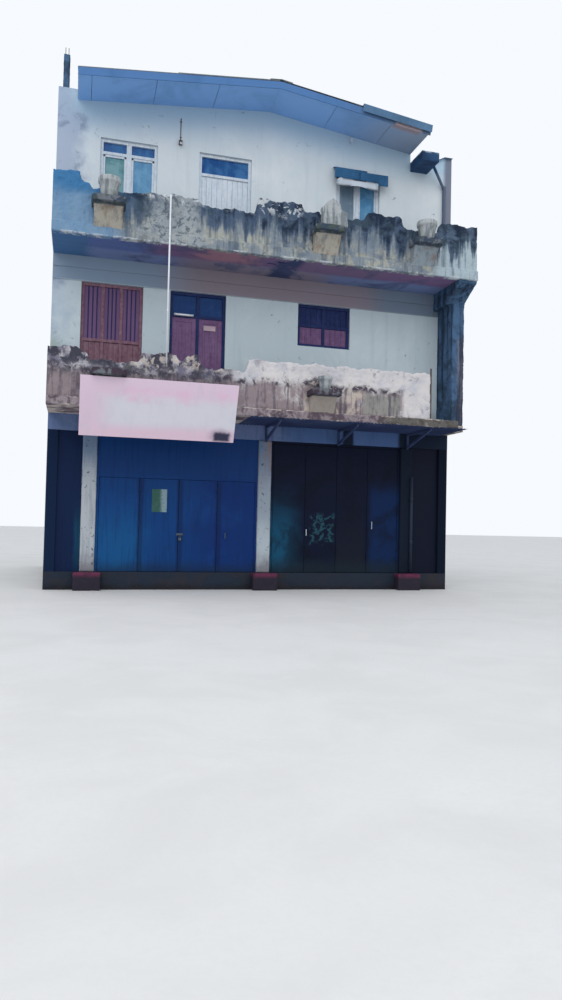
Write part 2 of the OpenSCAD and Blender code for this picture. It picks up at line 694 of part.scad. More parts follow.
module plain_windows() color("#7f8f9c") at_origin() {
    for (z = [first_z, second_z]) {
        for (y = side_windows_y) translate([left_x, y + plain_window_w, z + plain_sill])
            rotate([0, 0, -90]) joinery(plain_window_w, plain_window_h, 1, 0);
        for (x = back_windows_x) translate([x + plain_window_w, back_y, z + plain_sill])
            rotate([0, 0, 180]) joinery(plain_window_w, plain_window_h, 1, 0);
    }
    translate([-back_door_x, back_y, shop_z + plain_sill])
        rotate([0, 0, 180]) joinery(plain_window_w, plain_window_h, 1, 0);
}

// Everything above the gables is laid out on one slope: u runs down it from the ridge
module on_slope(side) translate([0, 0, ridge_z]) mirror([side < 0 ? 1 : 0, 0, 0])
    rotate([0, slope_of(side), 0]) children();
function slope_l(side) = (side < 0 ? left_eave : right_eave)/cos(slope_of(side));

// Folded outline over the ridge: from d0 to d1 above the purlins' underside, and
// reaching down both slopes
function on_roof(side, u, d) = [side*(u*cos(slope_of(side)) + d*sin(slope_of(side))),
    ridge_z - u*sin(slope_of(side)) + d*cos(slope_of(side))];
function apex(d) = let (x = d*(1/cos(right_slope) - 1/cos(left_slope))/(tan(left_slope) + tan(right_slope)))
    [x, ridge_z + d/cos(right_slope) - x*tan(right_slope)];
module folded(d0, d1, left, right) polygon([on_roof(-1, left, d1), apex(d1), on_roof(1, right, d1),
    on_roof(1, right, d0), apex(d0), on_roof(-1, left, d0)]);

purlin_first = 90;
module roof_purlins() color("#6a5a50") at_origin() for (side = [-1, 1]) {
    step = (slope_l(side) - 2*purlin_first - purlin_w)/(purlins - 1);
    on_slope(side) for (i = [0:purlins - 1])
        translate([purlin_first + i*step, roof_front_y + board_t + seat_gap, 0])
            cube([purlin_w, roof_l - 2*board_t - 2*seat_gap, purlin_h]);
}

ridge_gap = 30;
module roof_sheet(side) on_slope(side)
    translate([slope_l(side), roof_front_y, purlin_h + sheet_wave_h/2 + sheet_t/2 + seat_gap])
        rotate([0, 0, 90]) corrugated(roof_l, slope_l(side) - ridge_gap, sheet_pitch, sheet_wave_h, sheet_t);
module roof_sheet_left() color("#6d7686") at_origin() roof_sheet(-1);
module roof_sheet_right() color("#6d7686") at_origin() roof_sheet(1);

// Folded ridge cap resting on the crests of both sheets
cap_w = 220;
cap_t = 6;
cap_rise = purlin_h + sheet_wave_h + sheet_t + 2*seat_gap;
module ridge_cap() color("#69707e") at_origin()
    front_plate(roof_front_y, roof_l) folded(cap_rise, cap_rise + cap_t, cap_w, cap_w);

module verge_soffit() color("#5e6a86") at_origin() for (side = [-1, 1]) {
    start = board_t*tan(slope_of(side)) + seat_gap;
    on_slope(side) translate([start, roof_front_y + board_t + seat_gap, -board_t])
        cube([slope_l(side) - start, verge_out - board_t - 2*seat_gap, board_t - seat_gap]);
}

module verge_boards() color("#56617c") at_origin() for (y = [roof_front_y, roof_back_y - board_t])
    front_plate(y, board_t) folded(purlin_h - verge_board_h, purlin_h, slope_l(-1), slope_l(1));

// Box gutters: the right one lies in a notch of the gables and reaches out over the
// street front, the left one hangs between the sheets and the raised end wall
gutter_front = 600;
module gutter(x, w, z, y0, y1) translate([x, y0, z]) difference() {
    cube([w, y1 - y0, gutter_h - 2*seat_gap]);
    translate([gutter_t, gutter_t, gutter_t]) cube([w - 2*gutter_t, y1 - y0 - 2*gutter_t, gutter_h]);
}
// Downpipe: an outlet in the side of the right gutter, a neck to a collar in the wall's
// corner, and from there down to the balcony floor
downpipe_d = 76;
downpipe_x = right_x - parapet_t - downpipe_d;
collar_h = 150;
neck_drop = 420;
outlet_l = 60;
neck_start = [gutter_out_x + outlet_l/2, -250, gutter_z + gutter_h/2];
neck_end = [downpipe_x, -downpipe_d/2 - 4*seat_gap, neck_start.z - neck_drop];
module downpipe() {
    neck = neck_end - neck_start;
    translate([gutter_out_x - gutter_t/2, neck_start.y, neck_start.z]) rotate([0, 90, 0])
        cylinder(d = downpipe_d, h = outlet_l, $fn = 24);
    translate(neck_start) rotate([0, acos(neck.z/norm(neck)), atan2(neck.y, neck.x)])
        cylinder(d = 0.8*downpipe_d, h = norm(neck), $fn = 24);
    translate(neck_end - [0, 0, collar_h/2]) cylinder(d = downpipe_d + 6*seat_gap, h = collar_h, $fn = 24);
    translate([neck_end.x, neck_end.y, second_z + seat_gap])
        cylinder(d = downpipe_d, h = neck_end.z - second_z, $fn = 24);
}
module roof_gutters() color("#2f3a58") at_origin() {
    gutter(right_eave + seat_gap, gutter_w, gutter_z + seat_gap, -gutter_front, roof_back_y);
    downpipe();
    gutter(inner_left_x + seat_gap, left_inset - wall_t - 2*seat_gap,
        roof_z(-1, left_eave) - gutter_h, wall_t + seat_gap, inner_back_y - seat_gap);
}

// Extra sheet with a lip over the verge of the right slope, and a bent tray from the
// right gutter to the end wall
flashing_t = 5;
flashing_out = 60;
flashing_d = 700;
flashing_lip = 150;
tray_edge = 60;
module roof_flashing() color("#3f5272") at_origin() {
    on_slope(1) translate([slope_l(1) - flashing_l, roof_front_y - flashing_out, cap_rise]) {
        cube([flashing_l, flashing_d, flashing_t]);
        translate([0, 0, -flashing_lip]) cube([flashing_l, flashing_t, flashing_lip + 1]);
    }
    front_plate(-tray_edge, back_y + 2*tray_edge) translate([0, seat_gap]) polygon([
        [gutter_out_x, tray_z], [inner_right_x, tray_z + tray_rise], [right_x, tray_z + tray_rise],
        [right_x, tray_z + tray_rise + flashing_t], [inner_right_x, tray_z + tray_rise + flashing_t],
        [gutter_out_x, tray_z + flashing_t]]);
}

// Concrete stub with bare rods on the left pier
rod_d = 12;
stub_place = [left_x + 80, 40, end_wall_z - 1];
module roof_stub() color("#77757a") at_origin() translate(stub_place) {
    cube([stub_w, stub_w, stub_h]);
    for (u = [0.25, 0.75]) translate([u*stub_w, stub_w/2, stub_h - 1])
        cylinder(d = rod_d, h = rod_h, $fn = 16);
}

// Pipe in front of both parapets, held off by the edge band of the upper slab, and a
// fatter one beside the right street column
module front_pipe() color("#d8d9de") at_origin() {
    translate([left_x + pipe_x, -balcony_out - band_out - seat_gap - pipe_d/2, first_z + first_low])
        cylinder(d = pipe_d, h = second_z + upper_high - first_z - first_low, $fn = 24);
    translate([column_3_x + column_w - pipe_d, -pipe_d - seat_gap, shop_z + seat_gap])
        cylinder(r = pipe_d, h = street_pipe_l, $fn = 24);
}

plinth();
column_bases();
ground_columns();
ground_beam();
ground_side_walls();
ground_back_wall();
back_door();
corner_panels();
left_shutter_frame();
left_shutter_leaves();
right_shutter_frame();
right_shutter_leaves();
canopy_sheet();
canopy_brackets();
sign_board();
sign_brackets();
first_floor_slab();
first_parapet();
first_front_wall();
first_side_walls();
first_back_wall();
first_screen();
first_door();
first_window();
right_pier();
second_floor_slab();
upper_parapet();
parapet_ledges();
ledge_pots();
second_front_wall();
second_side_walls();
second_back_wall();
upper_left_window();
upper_door();
upper_right_window();
window_blind();
plain_windows();
roof_purlins();
roof_sheet_left();
roof_sheet_right();
ridge_cap();
verge_soffit();
verge_boards();
roof_gutters();
roof_flashing();
roof_stub();
front_pipe();
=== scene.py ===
# %% [markdown]
# # A corner shop house in worn render and folding steel
# The real house is brick and concrete under lime render, with two balconies that the rain
# has blackened. Its walls, floors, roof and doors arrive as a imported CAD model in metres.
# This notebook keeps that model as a fixed frame, gives every surface its finish, and makes
# the small and crumbling pieces that solid modelling leaves plain.

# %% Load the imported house
import math
from collections import defaultdict

import bmesh
import bpy
from mathutils import Matrix, Quaternion, Vector


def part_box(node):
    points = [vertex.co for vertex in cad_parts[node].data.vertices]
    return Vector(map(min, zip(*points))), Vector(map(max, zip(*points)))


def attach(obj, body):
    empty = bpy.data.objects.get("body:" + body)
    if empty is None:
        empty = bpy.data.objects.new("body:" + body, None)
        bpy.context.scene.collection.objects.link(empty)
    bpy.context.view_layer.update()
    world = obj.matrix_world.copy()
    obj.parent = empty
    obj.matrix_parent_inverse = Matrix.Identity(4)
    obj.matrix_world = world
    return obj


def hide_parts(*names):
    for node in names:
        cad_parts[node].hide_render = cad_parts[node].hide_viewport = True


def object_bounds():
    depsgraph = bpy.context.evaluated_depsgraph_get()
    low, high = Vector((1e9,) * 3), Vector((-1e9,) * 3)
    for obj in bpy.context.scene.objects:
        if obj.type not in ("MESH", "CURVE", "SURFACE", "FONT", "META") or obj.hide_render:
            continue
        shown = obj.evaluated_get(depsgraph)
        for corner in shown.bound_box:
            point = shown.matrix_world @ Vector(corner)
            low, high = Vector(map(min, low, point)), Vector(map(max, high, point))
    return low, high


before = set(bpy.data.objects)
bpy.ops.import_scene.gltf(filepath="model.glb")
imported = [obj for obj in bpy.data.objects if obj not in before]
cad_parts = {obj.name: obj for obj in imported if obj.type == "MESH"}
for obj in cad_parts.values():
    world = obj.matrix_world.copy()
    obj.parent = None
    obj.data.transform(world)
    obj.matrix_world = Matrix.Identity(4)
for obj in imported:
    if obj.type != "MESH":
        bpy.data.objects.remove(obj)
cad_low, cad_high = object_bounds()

BODY = "root"
print("house measures", [round(s, 2) for s in cad_high - cad_low], "m")

# %% [markdown]
# ## The camera
# The view is the photograph's own: a phone held at chest height across the street, turned a
# little to the right and tipped up by two degrees. Its place and focal length were worked
# out from the straight edges of the house, and they are stated as real sizes here.

# %% Set up the camera
EYE = Vector((-3.674, -18.288, 1.358))
YAW, PITCH, ROLL = (math.radians(angle) for angle in (15.22, 1.857, -1.295))
FOCAL_PX, FRAME_HEIGHT_PX = 751, 1000

camera = bpy.data.objects.new("street_camera", bpy.data.cameras.new("street_camera"))
bpy.context.scene.collection.objects.link(camera)
gaze = Vector((math.sin(YAW)*math.cos(PITCH), math.cos(YAW)*math.cos(PITCH), math.sin(PITCH)))
camera.rotation_mode = "QUATERNION"
camera.rotation_quaternion = gaze.to_track_quat("-Z", "Y") @ Quaternion((0, 0, 1), -ROLL)
camera.location = EYE
camera.data.lens = camera.data.sensor_width*FOCAL_PX/FRAME_HEIGHT_PX
bpy.context.scene.camera = camera
print("lens", round(camera.data.lens, 2), "mm")

# %% [markdown]
# ## Floor and light
# An overcast sky lights the house from all round and mostly from above. A pale world does
# that, and one very large soft lamp in front adds a gentle direction, so that ledges and
# broken edges read. The floor is plain and pale.

# %% Lay the floor and hang the lamps
FLOOR_REACH = 120
LAMP_SIZE = 22
LAMP_POWER = 2600
SKY_STRENGTH = 1.0

scene = bpy.context.scene
scene.view_settings.view_transform = "Standard"
scene.world = bpy.data.worlds.new("Overcast sky")
scene.world.use_nodes = True
sky = scene.world.node_tree.nodes["Background"].inputs
sky["Color"].default_value = (0.93, 0.96, 1.0, 1.0)
sky["Strength"].default_value = SKY_STRENGTH

bm = bmesh.new()
bmesh.ops.create_grid(bm, x_segments=1, y_segments=1, size=FLOOR_REACH)
floor_mesh = bpy.data.meshes.new("studio_floor")
bm.to_mesh(floor_mesh)
bm.free()
studio_floor = bpy.data.objects.new("studio_floor", floor_mesh)
scene.collection.objects.link(studio_floor)

lamp = bpy.data.objects.new("soft_lamp", bpy.data.lights.new("soft_lamp", "AREA"))
lamp.data.size = LAMP_SIZE
lamp.data.energy = LAMP_POWER
lamp.location = (-9, -24, 24)
lamp.rotation_mode = "QUATERNION"
lamp.rotation_quaternion = (Vector((0, 0, 4)) - lamp.location).to_track_quat("-Z", "Y")
scene.collection.objects.link(lamp)

# %% [markdown]
# ## Small tools for shaders
# Every finish is built from nodes. These helpers keep a material readable: one line adds a
# node, one does a step of arithmetic, and one turns a level into a soft mask.

# %% Name the shader helpers
def paint(code):
    """A colour from its hexadecimal code, in the linear values that shaders use."""
    parts = (int(code[i:i + 2], 16)/255 for i in (1, 3, 5))
    return (*(p/12.92 if p <= 0.04045 else ((p + 0.055)/1.055)**2.4 for p in parts), 1.0)


def give(tree, socket, value):
    """A socket takes a plain value, or a link from another node's output."""
    if isinstance(value, bpy.types.NodeSocket):
        tree.links.new(value, socket)
    else:
        socket.default_value = value


def add(tree, kind, sockets=None, **settings):
    """Adds a shader node with its settings and what its sockets take."""
    made = tree.nodes.new("ShaderNode" + kind)
    for key, value in settings.items():
        setattr(made, key, value)
    for key, value in (sockets or {}).items():
        give(tree, made.inputs[key], value)
    return made


def sum_of(tree, kind, a, b, clamp=False):
    """One step of arithmetic on two numbers or outputs."""
    return add(tree, "Math", {0: a, 1: b}, operation=kind, use_clamp=clamp).outputs[0]


def ranged(tree, value, start, stop):
    """A mask that rises smoothly from 0 at start to 1 at stop."""
    return add(tree, "MapRange", {"Value": value, "From Min": start, "From Max": stop},
               interpolation_type="SMOOTHSTEP").outputs["Result"]


# %% [markdown]
# ## Effects that many finishes share
# Rain streaks, stains, tide marks, the grain of plaster and worn corners turn up all over
# the house, so each is a node group with named inputs. A group puts out only a mask or a
# height, and each material places it with its own values.

# %% Build the shared node groups
def group_of(name, **inputs):
    """A new node group with a vector, some numbers and one output; gives its ends too."""
    group = bpy.data.node_groups.new(name, "ShaderNodeTree")
    group.interface.new_socket("Vector", in_out="INPUT", socket_type="NodeSocketVector")
    for label, value in inputs.items():
        socket = group.interface.new_socket(label, in_out="INPUT", socket_type="NodeSocketFloat")
        socket.default_value = value
    group.interface.new_socket("Mask", in_out="OUTPUT", socket_type="NodeSocketFloat")
    ends = group.nodes.new("NodeGroupInput").outputs, group.nodes.new("NodeGroupOutput").inputs[0]
    return group, *ends


def vector_math(tree, operation, a, b=None):
    """One step of arithmetic on vectors."""
    sockets = {0: a} if b is None else {0: a, 1: b}
    return add(tree, "VectorMath", sockets, operation=operation).outputs


def noise(tree, vector, scale, detail, roughness=0.5, distortion=0.0):
    """A cloudy field round one half."""
    sockets = {"Vector": vector, "Scale": scale, "Detail": detail, "Roughness": roughness,
               "Distortion": distortion}
    return add(tree, "TexNoise", sockets).outputs[0]


def swing(tree, field, reach):
    """How far a field pushes a level up or down."""
    return sum_of(tree, "MULTIPLY", sum_of(tree, "SUBTRACT", field, 0.5), reach)


def rain_streak_group():
    """Runs that rain leaves: noise drawn out downwards."""
    group, given, out = group_of("Rain streaks", Across=8, Down=0.5, Start=0.5, Stop=0.7, Seed=0)
    shift = add(group, "CombineXYZ", {0: given["Seed"], 1: given["Seed"]}).outputs[0]
    scale = add(group, "CombineXYZ", {0: given["Across"], 1: given["Across"], 2: given["Down"]}).outputs[0]
    moved = vector_math(group, "ADD", given["Vector"], shift)[0]
    field = noise(group, vector_math(group, "MULTIPLY", moved, scale)[0], 1.0, 5.0, 0.62)
    group.links.new(ranged(group, field, given["Start"], given["Stop"]), out)
    return group


def stain_group():
    """Cloudy patches with ragged edges."""
    group, given, out = group_of("Stains", Scale=2, Start=0.5, Stop=0.6, Seed=0)
    shift = add(group, "CombineXYZ", {0: given["Seed"], 2: given["Seed"]}).outputs[0]
    moved = vector_math(group, "ADD", given["Vector"], shift)[0]
    field = noise(group, moved, given["Scale"], 8.0, 0.65, 0.5)
    group.links.new(ranged(group, field, given["Start"], given["Stop"]), out)
    return group


def tide_group():
    """A level with a wandering edge: 0 on the Start side, 1 past Stop."""
    group, given, out = group_of("Tide mark", Value=0, Start=0, Stop=1, Waver=0.2, Scale=2)
    field = noise(group, given["Vector"], given["Scale"], 6.0, 0.6)
    level = sum_of(group, "ADD", given["Value"], swing(group, field, given["Waver"]))
    group.links.new(ranged(group, level, given["Start"], given["Stop"]), out)
    return group


def plaster_group():
    """The height of trowelled render: broad waves, sand and a few pits."""
    group, given, out = group_of("Plaster", Coarse=3, Fine=60, Pits=0.5)
    broad = noise(group, given["Vector"], given["Coarse"], 6.0)
    sand = noise(group, given["Vector"], given["Fine"], 3.0)
    cells = add(group, "TexVoronoi", {"Vector": given["Vector"], "Scale": 14.0}).outputs["Distance"]
    pits = sum_of(group, "MULTIPLY", ranged(group, cells, 0.16, 0.0), given["Pits"])
    height = sum_of(group, "ADD", broad, sum_of(group, "MULTIPLY", sand, 0.25))
    group.links.new(sum_of(group, "SUBTRACT", height, pits), out)
    return group


def wear_group():
    """Proud corners that chip first, broken up by a fine noise."""
    group, given, out = group_of("Worn corners", Start=0.52, Stop=0.6, Scale=12)
    point = add(group, "NewGeometry").outputs["Pointiness"]
    field = noise(group, given["Vector"], given["Scale"], 5.0)
    level = sum_of(group, "ADD", point, swing(group, field, 0.2))
    group.links.new(ranged(group, level, given["Start"], given["Stop"]), out)
    return group


STREAKS, STAINS, TIDE, PLASTER, WEAR = (
    rain_streak_group(), stain_group(), tide_group(), plaster_group(), wear_group())
print("shared effects:", [g.name for g in (STREAKS, STAINS, TIDE, PLASTER, WEAR)])


# %% Start and finish a material
class Finish:
    """A material in the making: its node tree, the object's own coordinates and its coats."""

    def __init__(self, name, base):
        self.material = bpy.data.materials.new(name)
        self.material.use_nodes = True
        self.tree = self.material.node_tree
        self.colour = paint(base)
        self.place = add(self.tree, "TexCoord").outputs["Object"]
        self.x, self.y, self.z = add(self.tree, "SeparateXYZ", {0: self.place}).outputs

    def sum_of(self, kind, a, b, clamp=False):
        """One step of arithmetic in this material's own tree."""
        return sum_of(self.tree, kind, a, b, clamp)

    def mask(self, group, share, **values):
        """Places a shared effect with this finish's own values, at a share of its strength."""
        out = add(self.tree, "Group", {"Vector": self.place, **values}, node_tree=group).outputs[0]
        return out if share == 1.0 else self.sum_of("MULTIPLY", out, share)

    def runs(self, across, down, start, stop, seed=0, share=1.0):
        """Rain runs: a higher across makes them thinner, and a higher down shorter."""
        return self.mask(STREAKS, share, Across=across, Down=down, Start=start, Stop=stop, Seed=seed)

    def stains(self, scale, start, stop, seed=0, share=1.0):
        """Cloudy patches: a higher scale makes them smaller, and a higher start rarer."""
        return self.mask(STAINS, share, Scale=scale, Start=start, Stop=stop, Seed=seed)

    def past(self, value, start, stop, waver=0.2, scale=2, share=1.0):
        """A tide mark: nothing before start and all of it past stop, with a wandering edge."""
        return self.mask(TIDE, share, Value=value, Start=start, Stop=stop, Waver=waver, Scale=scale)

    def edge(self, value, start, stop):
        """A tide mark with a straight edge."""
        return self.past(value, start, stop, waver=0.0)

    def chips(self, start, stop, scale=12, share=1.0):
        """Proud corners, which chip first."""
        return self.mask(WEAR, share, Start=start, Stop=stop, Scale=scale)

    def plaster(self, coarse, fine, pits):
        """The relief of trowelled render, or of sheet where there are no pits."""
        return self.mask(PLASTER, 1.0, Coarse=coarse, Fine=fine, Pits=pits)

    def both(self, *masks):
        """Where all the masks meet."""
        out = masks[0]
        for mask in masks[1:]:
            out = self.sum_of("MULTIPLY", out, mask)
        return out

    def between(self, value, low, high, waver=0.2, soft=0.06, scale=3.0):
        """1 where a value lies between two levels, with soft and wandering edges."""
        return self.both(self.past(value, low - soft, low + soft, waver, scale),
                         self.past(value, high + soft, high - soft, waver, scale))

    def coat(self, label, code, *masks):
        """Lays a coat of colour over the last where all its masks meet."""
        sockets = {0: self.both(*masks), 6: self.colour, 7: paint(code)}
        laid = add(self.tree, "Mix", sockets, data_type="RGBA", label=label)
        self.colour = laid.outputs[2]

    def end_steel(self, roughness):
        """Ends a finish on sheet steel, which is nearly smooth."""
        return self.end(roughness, self.plaster(1.5, 25, 0.0), 0.006)

    def end(self, roughness=0.85, height=None, bump=0.01, shine=0.12):
        """Joins colour, roughness and relief to the shader."""
        shader = self.tree.nodes["Principled BSDF"]
        shader.inputs["Specular IOR Level"].default_value = shine
        give(self.tree, shader.inputs["Roughness"], roughness)
        give(self.tree, shader.inputs["Base Color"], self.colour)
        if height is not None:
            relief = add(self.tree, "Bump", {"Height": height, "Distance": bump, "Strength": 1.0})
            self.tree.links.new(relief.outputs[0], shader.inputs["Normal"])
        return self.material


# %% [markdown]
# ## Levels that the finishes and pieces share
# Stains follow the building: mould grows down from the parapet tops, and splashes climb from
# each floor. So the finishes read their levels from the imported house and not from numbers.

# %% Read the levels of the house
wall_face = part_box("second_front_wall")[0].y
shop_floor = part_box("plinth")[1].z
beam_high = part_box("ground_beam")[1].z
first_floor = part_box("first_parapet")[0].z
first_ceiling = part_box("second_floor_slab")[0].z
second_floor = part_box("upper_parapet")[0].z
left_end, right_end = cad_low.x, cad_high.x
balcony_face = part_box("upper_parapet")[0].y
print("floors at", [round(z, 2) for z in (shop_floor, first_floor, second_floor)])

# %% [markdown]
# ## Render, concrete and paint on masonry
# The walls are limewashed and nearly white, the first parapet has white render above and
# brown run-off below, and the upper parapet is black with mould. Each is a base colour under
# coats that shared masks lay on, with the plaster group for its relief. Places are metres in
# the house's own frame, read off the photograph along the front.

# %% Mix the masonry finishes
EAVES_FALL = 0.118
BAND_H = 0.5


def limewash(name, floor, eaves, damp_from, base, pale, run, pale_patch_and_eaves_shade):
    """Thin wash: bluer and darker under the eaves as painted shade, with runs, damp at the left end and a
    dirty foot.
    """
    f = Finish(name, base)
    aside = f.sum_of("MULTIPLY", f.sum_of("ABSOLUTE", f.x, 0.0), EAVES_FALL)
    band = f.edge(f.z, first_ceiling - BAND_H, first_ceiling - BAND_H + 0.03)
    band = f.both(band, f.edge(f.z, first_ceiling + 0.1, first_ceiling))
    damp = f.past(f.x, damp_from, damp_from - 0.5, waver=1.2, scale=1.6, share=0.8)
    f.coat("clouds", pale, f.stains(0.7, 0.45, 0.7, seed=3))
    f.coat("runs", run, f.runs(5, 0.35, 0.5, 0.85, share=0.55))
    # painted shade: bluer and darker under the eaves, and at the top of the first-floor wall under the
    # balcony, following the fall of the roof
    f.coat("high", pale_patch_and_eaves_shade, f.past(f.sum_of("ADD", f.z, aside), eaves - 0.9, eaves, waver=0.3, scale=1,
                                share=0.9))
    f.coat("damp", "#98a6bd", damp)
    f.coat("mildew", "#6f7c97", damp, f.stains(2.6, 0.5, 0.62, seed=17, share=0.8))
    f.coat("green", "#8c9a72", damp, f.past(f.z, floor + 1.6, floor + 1.0, waver=0.8, scale=3))
    f.coat("splash", "#9fa8aa", f.past(f.z, floor + 0.55, floor + 0.05, waver=0.5, scale=3, share=0.75))
    f.coat("spots", "#8a98a2", f.stains(9, 0.6, 0.7, seed=8), f.stains(0.9, 0.5, 0.6, seed=1))
    f.coat("end", "#6d7284", f.past(f.x, 4.02, 4.14, waver=0.05, share=0.9))
    f.coat("band", "#8597ab", band)
    f.coat("dusty", "#8a828c", band, f.past(f.x, -2.6, -1.2, waver=0.4, scale=1))
    f.coat("bluer", "#6d8296", band, f.past(f.x, 2.1, 2.8, waver=0.4, scale=1, share=0.8))
    return f.end(0.9, f.plaster(2.2, 70, 0.2), 0.012)


def mould_black():
    """Upper parapet: dirty grey render under dark mould that hangs from the top in drips, flaked
    pale to the left of the doors, with a white crust on the broken top."""
    f = Finish("Mouldy parapet render", "#838d95")
    rise = f.sum_of("SUBTRACT", f.z, second_floor)
    drips = f.runs(5, 0.3, 0.34, 0.7, seed=9, share=0.6)
    hung = f.sum_of("ADD", rise, drips)
    mould = f.past(hung, 0.52, 0.84, waver=0.5, scale=3, share=0.9)
    patch = f.between(f.x, -2.6, -1.6, 1.2, 0.15, 2)
    blue = f.past(f.x, -2.75, -3.3, waver=0.9, scale=1.3, share=0.85)
    f.coat("clouds", "#707c8a", f.stains(2.2, 0.42, 0.62, seed=5))
    f.coat("cream", "#a9a99d", f.past(rise, 0.5, 0.1, waver=0.9, scale=1.6, share=0.8),
           f.stains(3.2, 0.46, 0.6, seed=3))
    f.coat("corner", "#a6b6be", f.past(f.x, 3.15, 3.4, waver=0.3))
    f.coat("runs", "#4f5b69", f.runs(9, 0.7, 0.46, 0.66, seed=4, share=0.75))
    f.coat("mould", "#43546c", mould)
    f.coat("slate", "#43546c", f.between(f.x, -1.5, -0.5, 0.3),
           f.past(hung, 0.4, 0.6, waver=0.4, share=0.85))
    f.coat("black", "#242f42", f.past(hung, 0.66, 0.95, waver=0.5, scale=5),
           f.stains(3.4, 0.4, 0.56, seed=11))
    f.coat("moss", "#3a4a56", mould, f.stains(4, 0.5, 0.6, seed=16, share=0.8))
    f.coat("flaked", "#9ba2a6", patch, f.stains(2.4, 0.36, 0.52, seed=21, share=0.75))
    f.coat("specks", "#4d5a66", patch, f.stains(11, 0.5, 0.62, seed=2, share=0.8))
    f.coat("blue", "#7092b3", blue)
    f.coat("azure", "#346f9f", blue, f.past(rise, 0.5, 0.8, waver=0.4))
    f.coat("crust", "#c3c9ce", f.between(f.x, -2.65, 0.4, 0.5),
           f.stains(6, 0.52, 0.55, seed=7, share=0.85), f.past(rise, 0.62, 0.78, waver=0.25, scale=5))
    f.coat("rim", "#c0c6cc", f.past(rise, -0.1, -0.125, waver=0.03, scale=7, share=0.8),
           f.stains(4, 0.5, 0.56, seed=9))
    f.coat("behind", "#a3a7a9", f.edge(f.y, wall_face + 0.02, wall_face + 0.06))
    return f.end(0.95, f.plaster(7, 45, 0.7), 0.03)


def run_off():
    """First parapet: white render above a ragged dark line, brown run-off below it, and grey
    mould with pale crumbs over the broken left part."""
    f = Finish("Weathered parapet render", "#d0cccc")
    rise = f.sum_of("SUBTRACT", f.z, first_floor)
    soiled = f.past(f.x, 2.68, 2.56, waver=0.1)
    low = f.both(soiled, f.past(rise, 0.62, 0.44, waver=0.5, scale=1.8))
    broken = f.past(f.x, -0.6, -1.1, waver=0.8, scale=1.5)
    f.coat("clouds", "#babac2", f.stains(1.6, 0.4, 0.62, seed=2))
    f.coat("grey", "#716f80", broken, f.stains(2.2, 0.36, 0.56, seed=4))
    f.coat("grime", "#8d8a92", f.stains(4.5, 0.54, 0.64, seed=13, share=0.7))
    f.coat("brown", "#8c8084", low, f.stains(2.4, 0.3, 0.5, seed=1))
    f.coat("pale", "#b9ada4", low, f.between(f.x, 0.5, 1.75, 0.4), f.stains(3, 0.42, 0.56, seed=3))
    f.coat("olive", "#8f8f8a", f.between(f.x, 1.8, 2.56, 0.15), f.between(rise, 0.04, 0.44, 0.1))
    f.coat("drips", "#615963", low, f.runs(11, 1.1, 0.47, 0.64, seed=6, share=0.9))
    f.coat("line", "#4c4752", soiled, f.between(rise, 0.48, 0.6, 0.45, 0.05, 1.8),
           f.stains(6, 0.44, 0.56, seed=4))
    f.coat("crown", "#42424e", broken, f.past(rise, 0.3, 0.75, waver=0.7, scale=3),
           f.stains(5, 0.44, 0.54, seed=9))
    f.coat("crumbs", "#bdb3ad", f.between(f.x, -2.8, -0.9, 0.3),
           f.past(rise, 0.6, 0.75, waver=0.3, scale=4, share=0.8), f.stains(7, 0.5, 0.56, seed=12))
    return f.end(0.93, f.plaster(6, 45, 0.6), 0.025)


UPPER_SLABS, LOWER_SLABS = (7.03, 7.3), (3.85, 4.2)


def ledge_cement():
    """Ledges: dark slabs on cream supports, with rust down the supports."""
    f = Finish("Ledge cement", "#aaa69b")
    slabs = f.sum_of("ADD", f.between(f.z, *UPPER_SLABS, 0.02, 0.01),
                     f.between(f.z, *LOWER_SLABS, 0.02, 0.01), True)
    f.coat("right", "#8c99a2", f.edge(f.x, 2.4, 2.6), f.past(f.z, 5, 6))
    f.coat("runs", "#6f757b", f.runs(9, 0.3, 0.48, 0.66, seed=3, share=0.7))
    f.coat("rust", "#7d6657", f.runs(5, 0.3, 0.48, 0.66, seed=5, share=0.7))
    f.coat("below", "#a0968f", f.past(f.z, 4.6, 4.2, waver=0.1, share=0.8))
    f.coat("slabs", "#3c4858", slabs)
    f.coat("mossy", "#4b5650", slabs, f.stains(4, 0.45, 0.62, seed=6))
    f.coat("brown", "#453c47", slabs, f.past(f.z, 6, 5))
    f.coat("top", "#6a6f76", slabs, f.stains(5, 0.5, 0.58, seed=8))
    return f.end(0.95, f.plaster(9, 60, 0.6), 0.02)


def pier_cement():
    """Right pier: blue-grey cement, black with run-off from the slab above, and paler on its right part,
    partly bare brown-grey cement and partly painted light on its lit side.
    """
    f = Finish("Mossy cement", "#4a6686")
    f.coat("green", "#374a60", f.stains(3, 0.45, 0.62, seed=6))
    # paler brown-grey on the right part: bare cement, plus painted light where the pier's lit side shows
    f.coat("bare", "#747280", f.past(f.x, 4.06, 4.14, waver=0.12, share=0.8),
           f.between(f.z, 3.5, 5.3, 0.8, 0.2))
    f.coat("runs", "#202c3f", f.runs(9, 0.6, 0.46, 0.64, seed=3, share=0.8))
    f.coat("chips", "#8b97a3", f.chips(0.54, 0.62), f.stains(4, 0.5, 0.6))
    return f.end(0.95, f.plaster(9, 60, 0.6), 0.02)


def slab_concrete():
    """Rough band at the lower slab edge: pinkish cement, mossy to the right, with painted highlights on the
    proud bits and painted shade in the hollows.
    """
    f = Finish("Slab edge cement", "#90858a")
    f.coat("dark", "#5e525c", f.stains(3.5, 0.46, 0.58, seed=2))
    f.coat("mossy", "#56564f", f.past(f.x, 1.8, 2.6, waver=0.6, share=0.8))
    # painted highlights on the proud bits of the band
    f.coat("lit", "#c4b9b2", f.chips(0.52, 0.58, scale=10), f.stains(2, 0.45, 0.55))
    # painted shade in the hollows of the band
    f.coat("hollow", "#3a353f", f.chips(0.5, 0.44, scale=10, share=0.8))
    f.coat("behind", "#a3a7a9", f.edge(f.y, wall_face + 0.02, wall_face + 0.06))
    return f.end(0.92, f.plaster(9, 50, 0.6), 0.02)


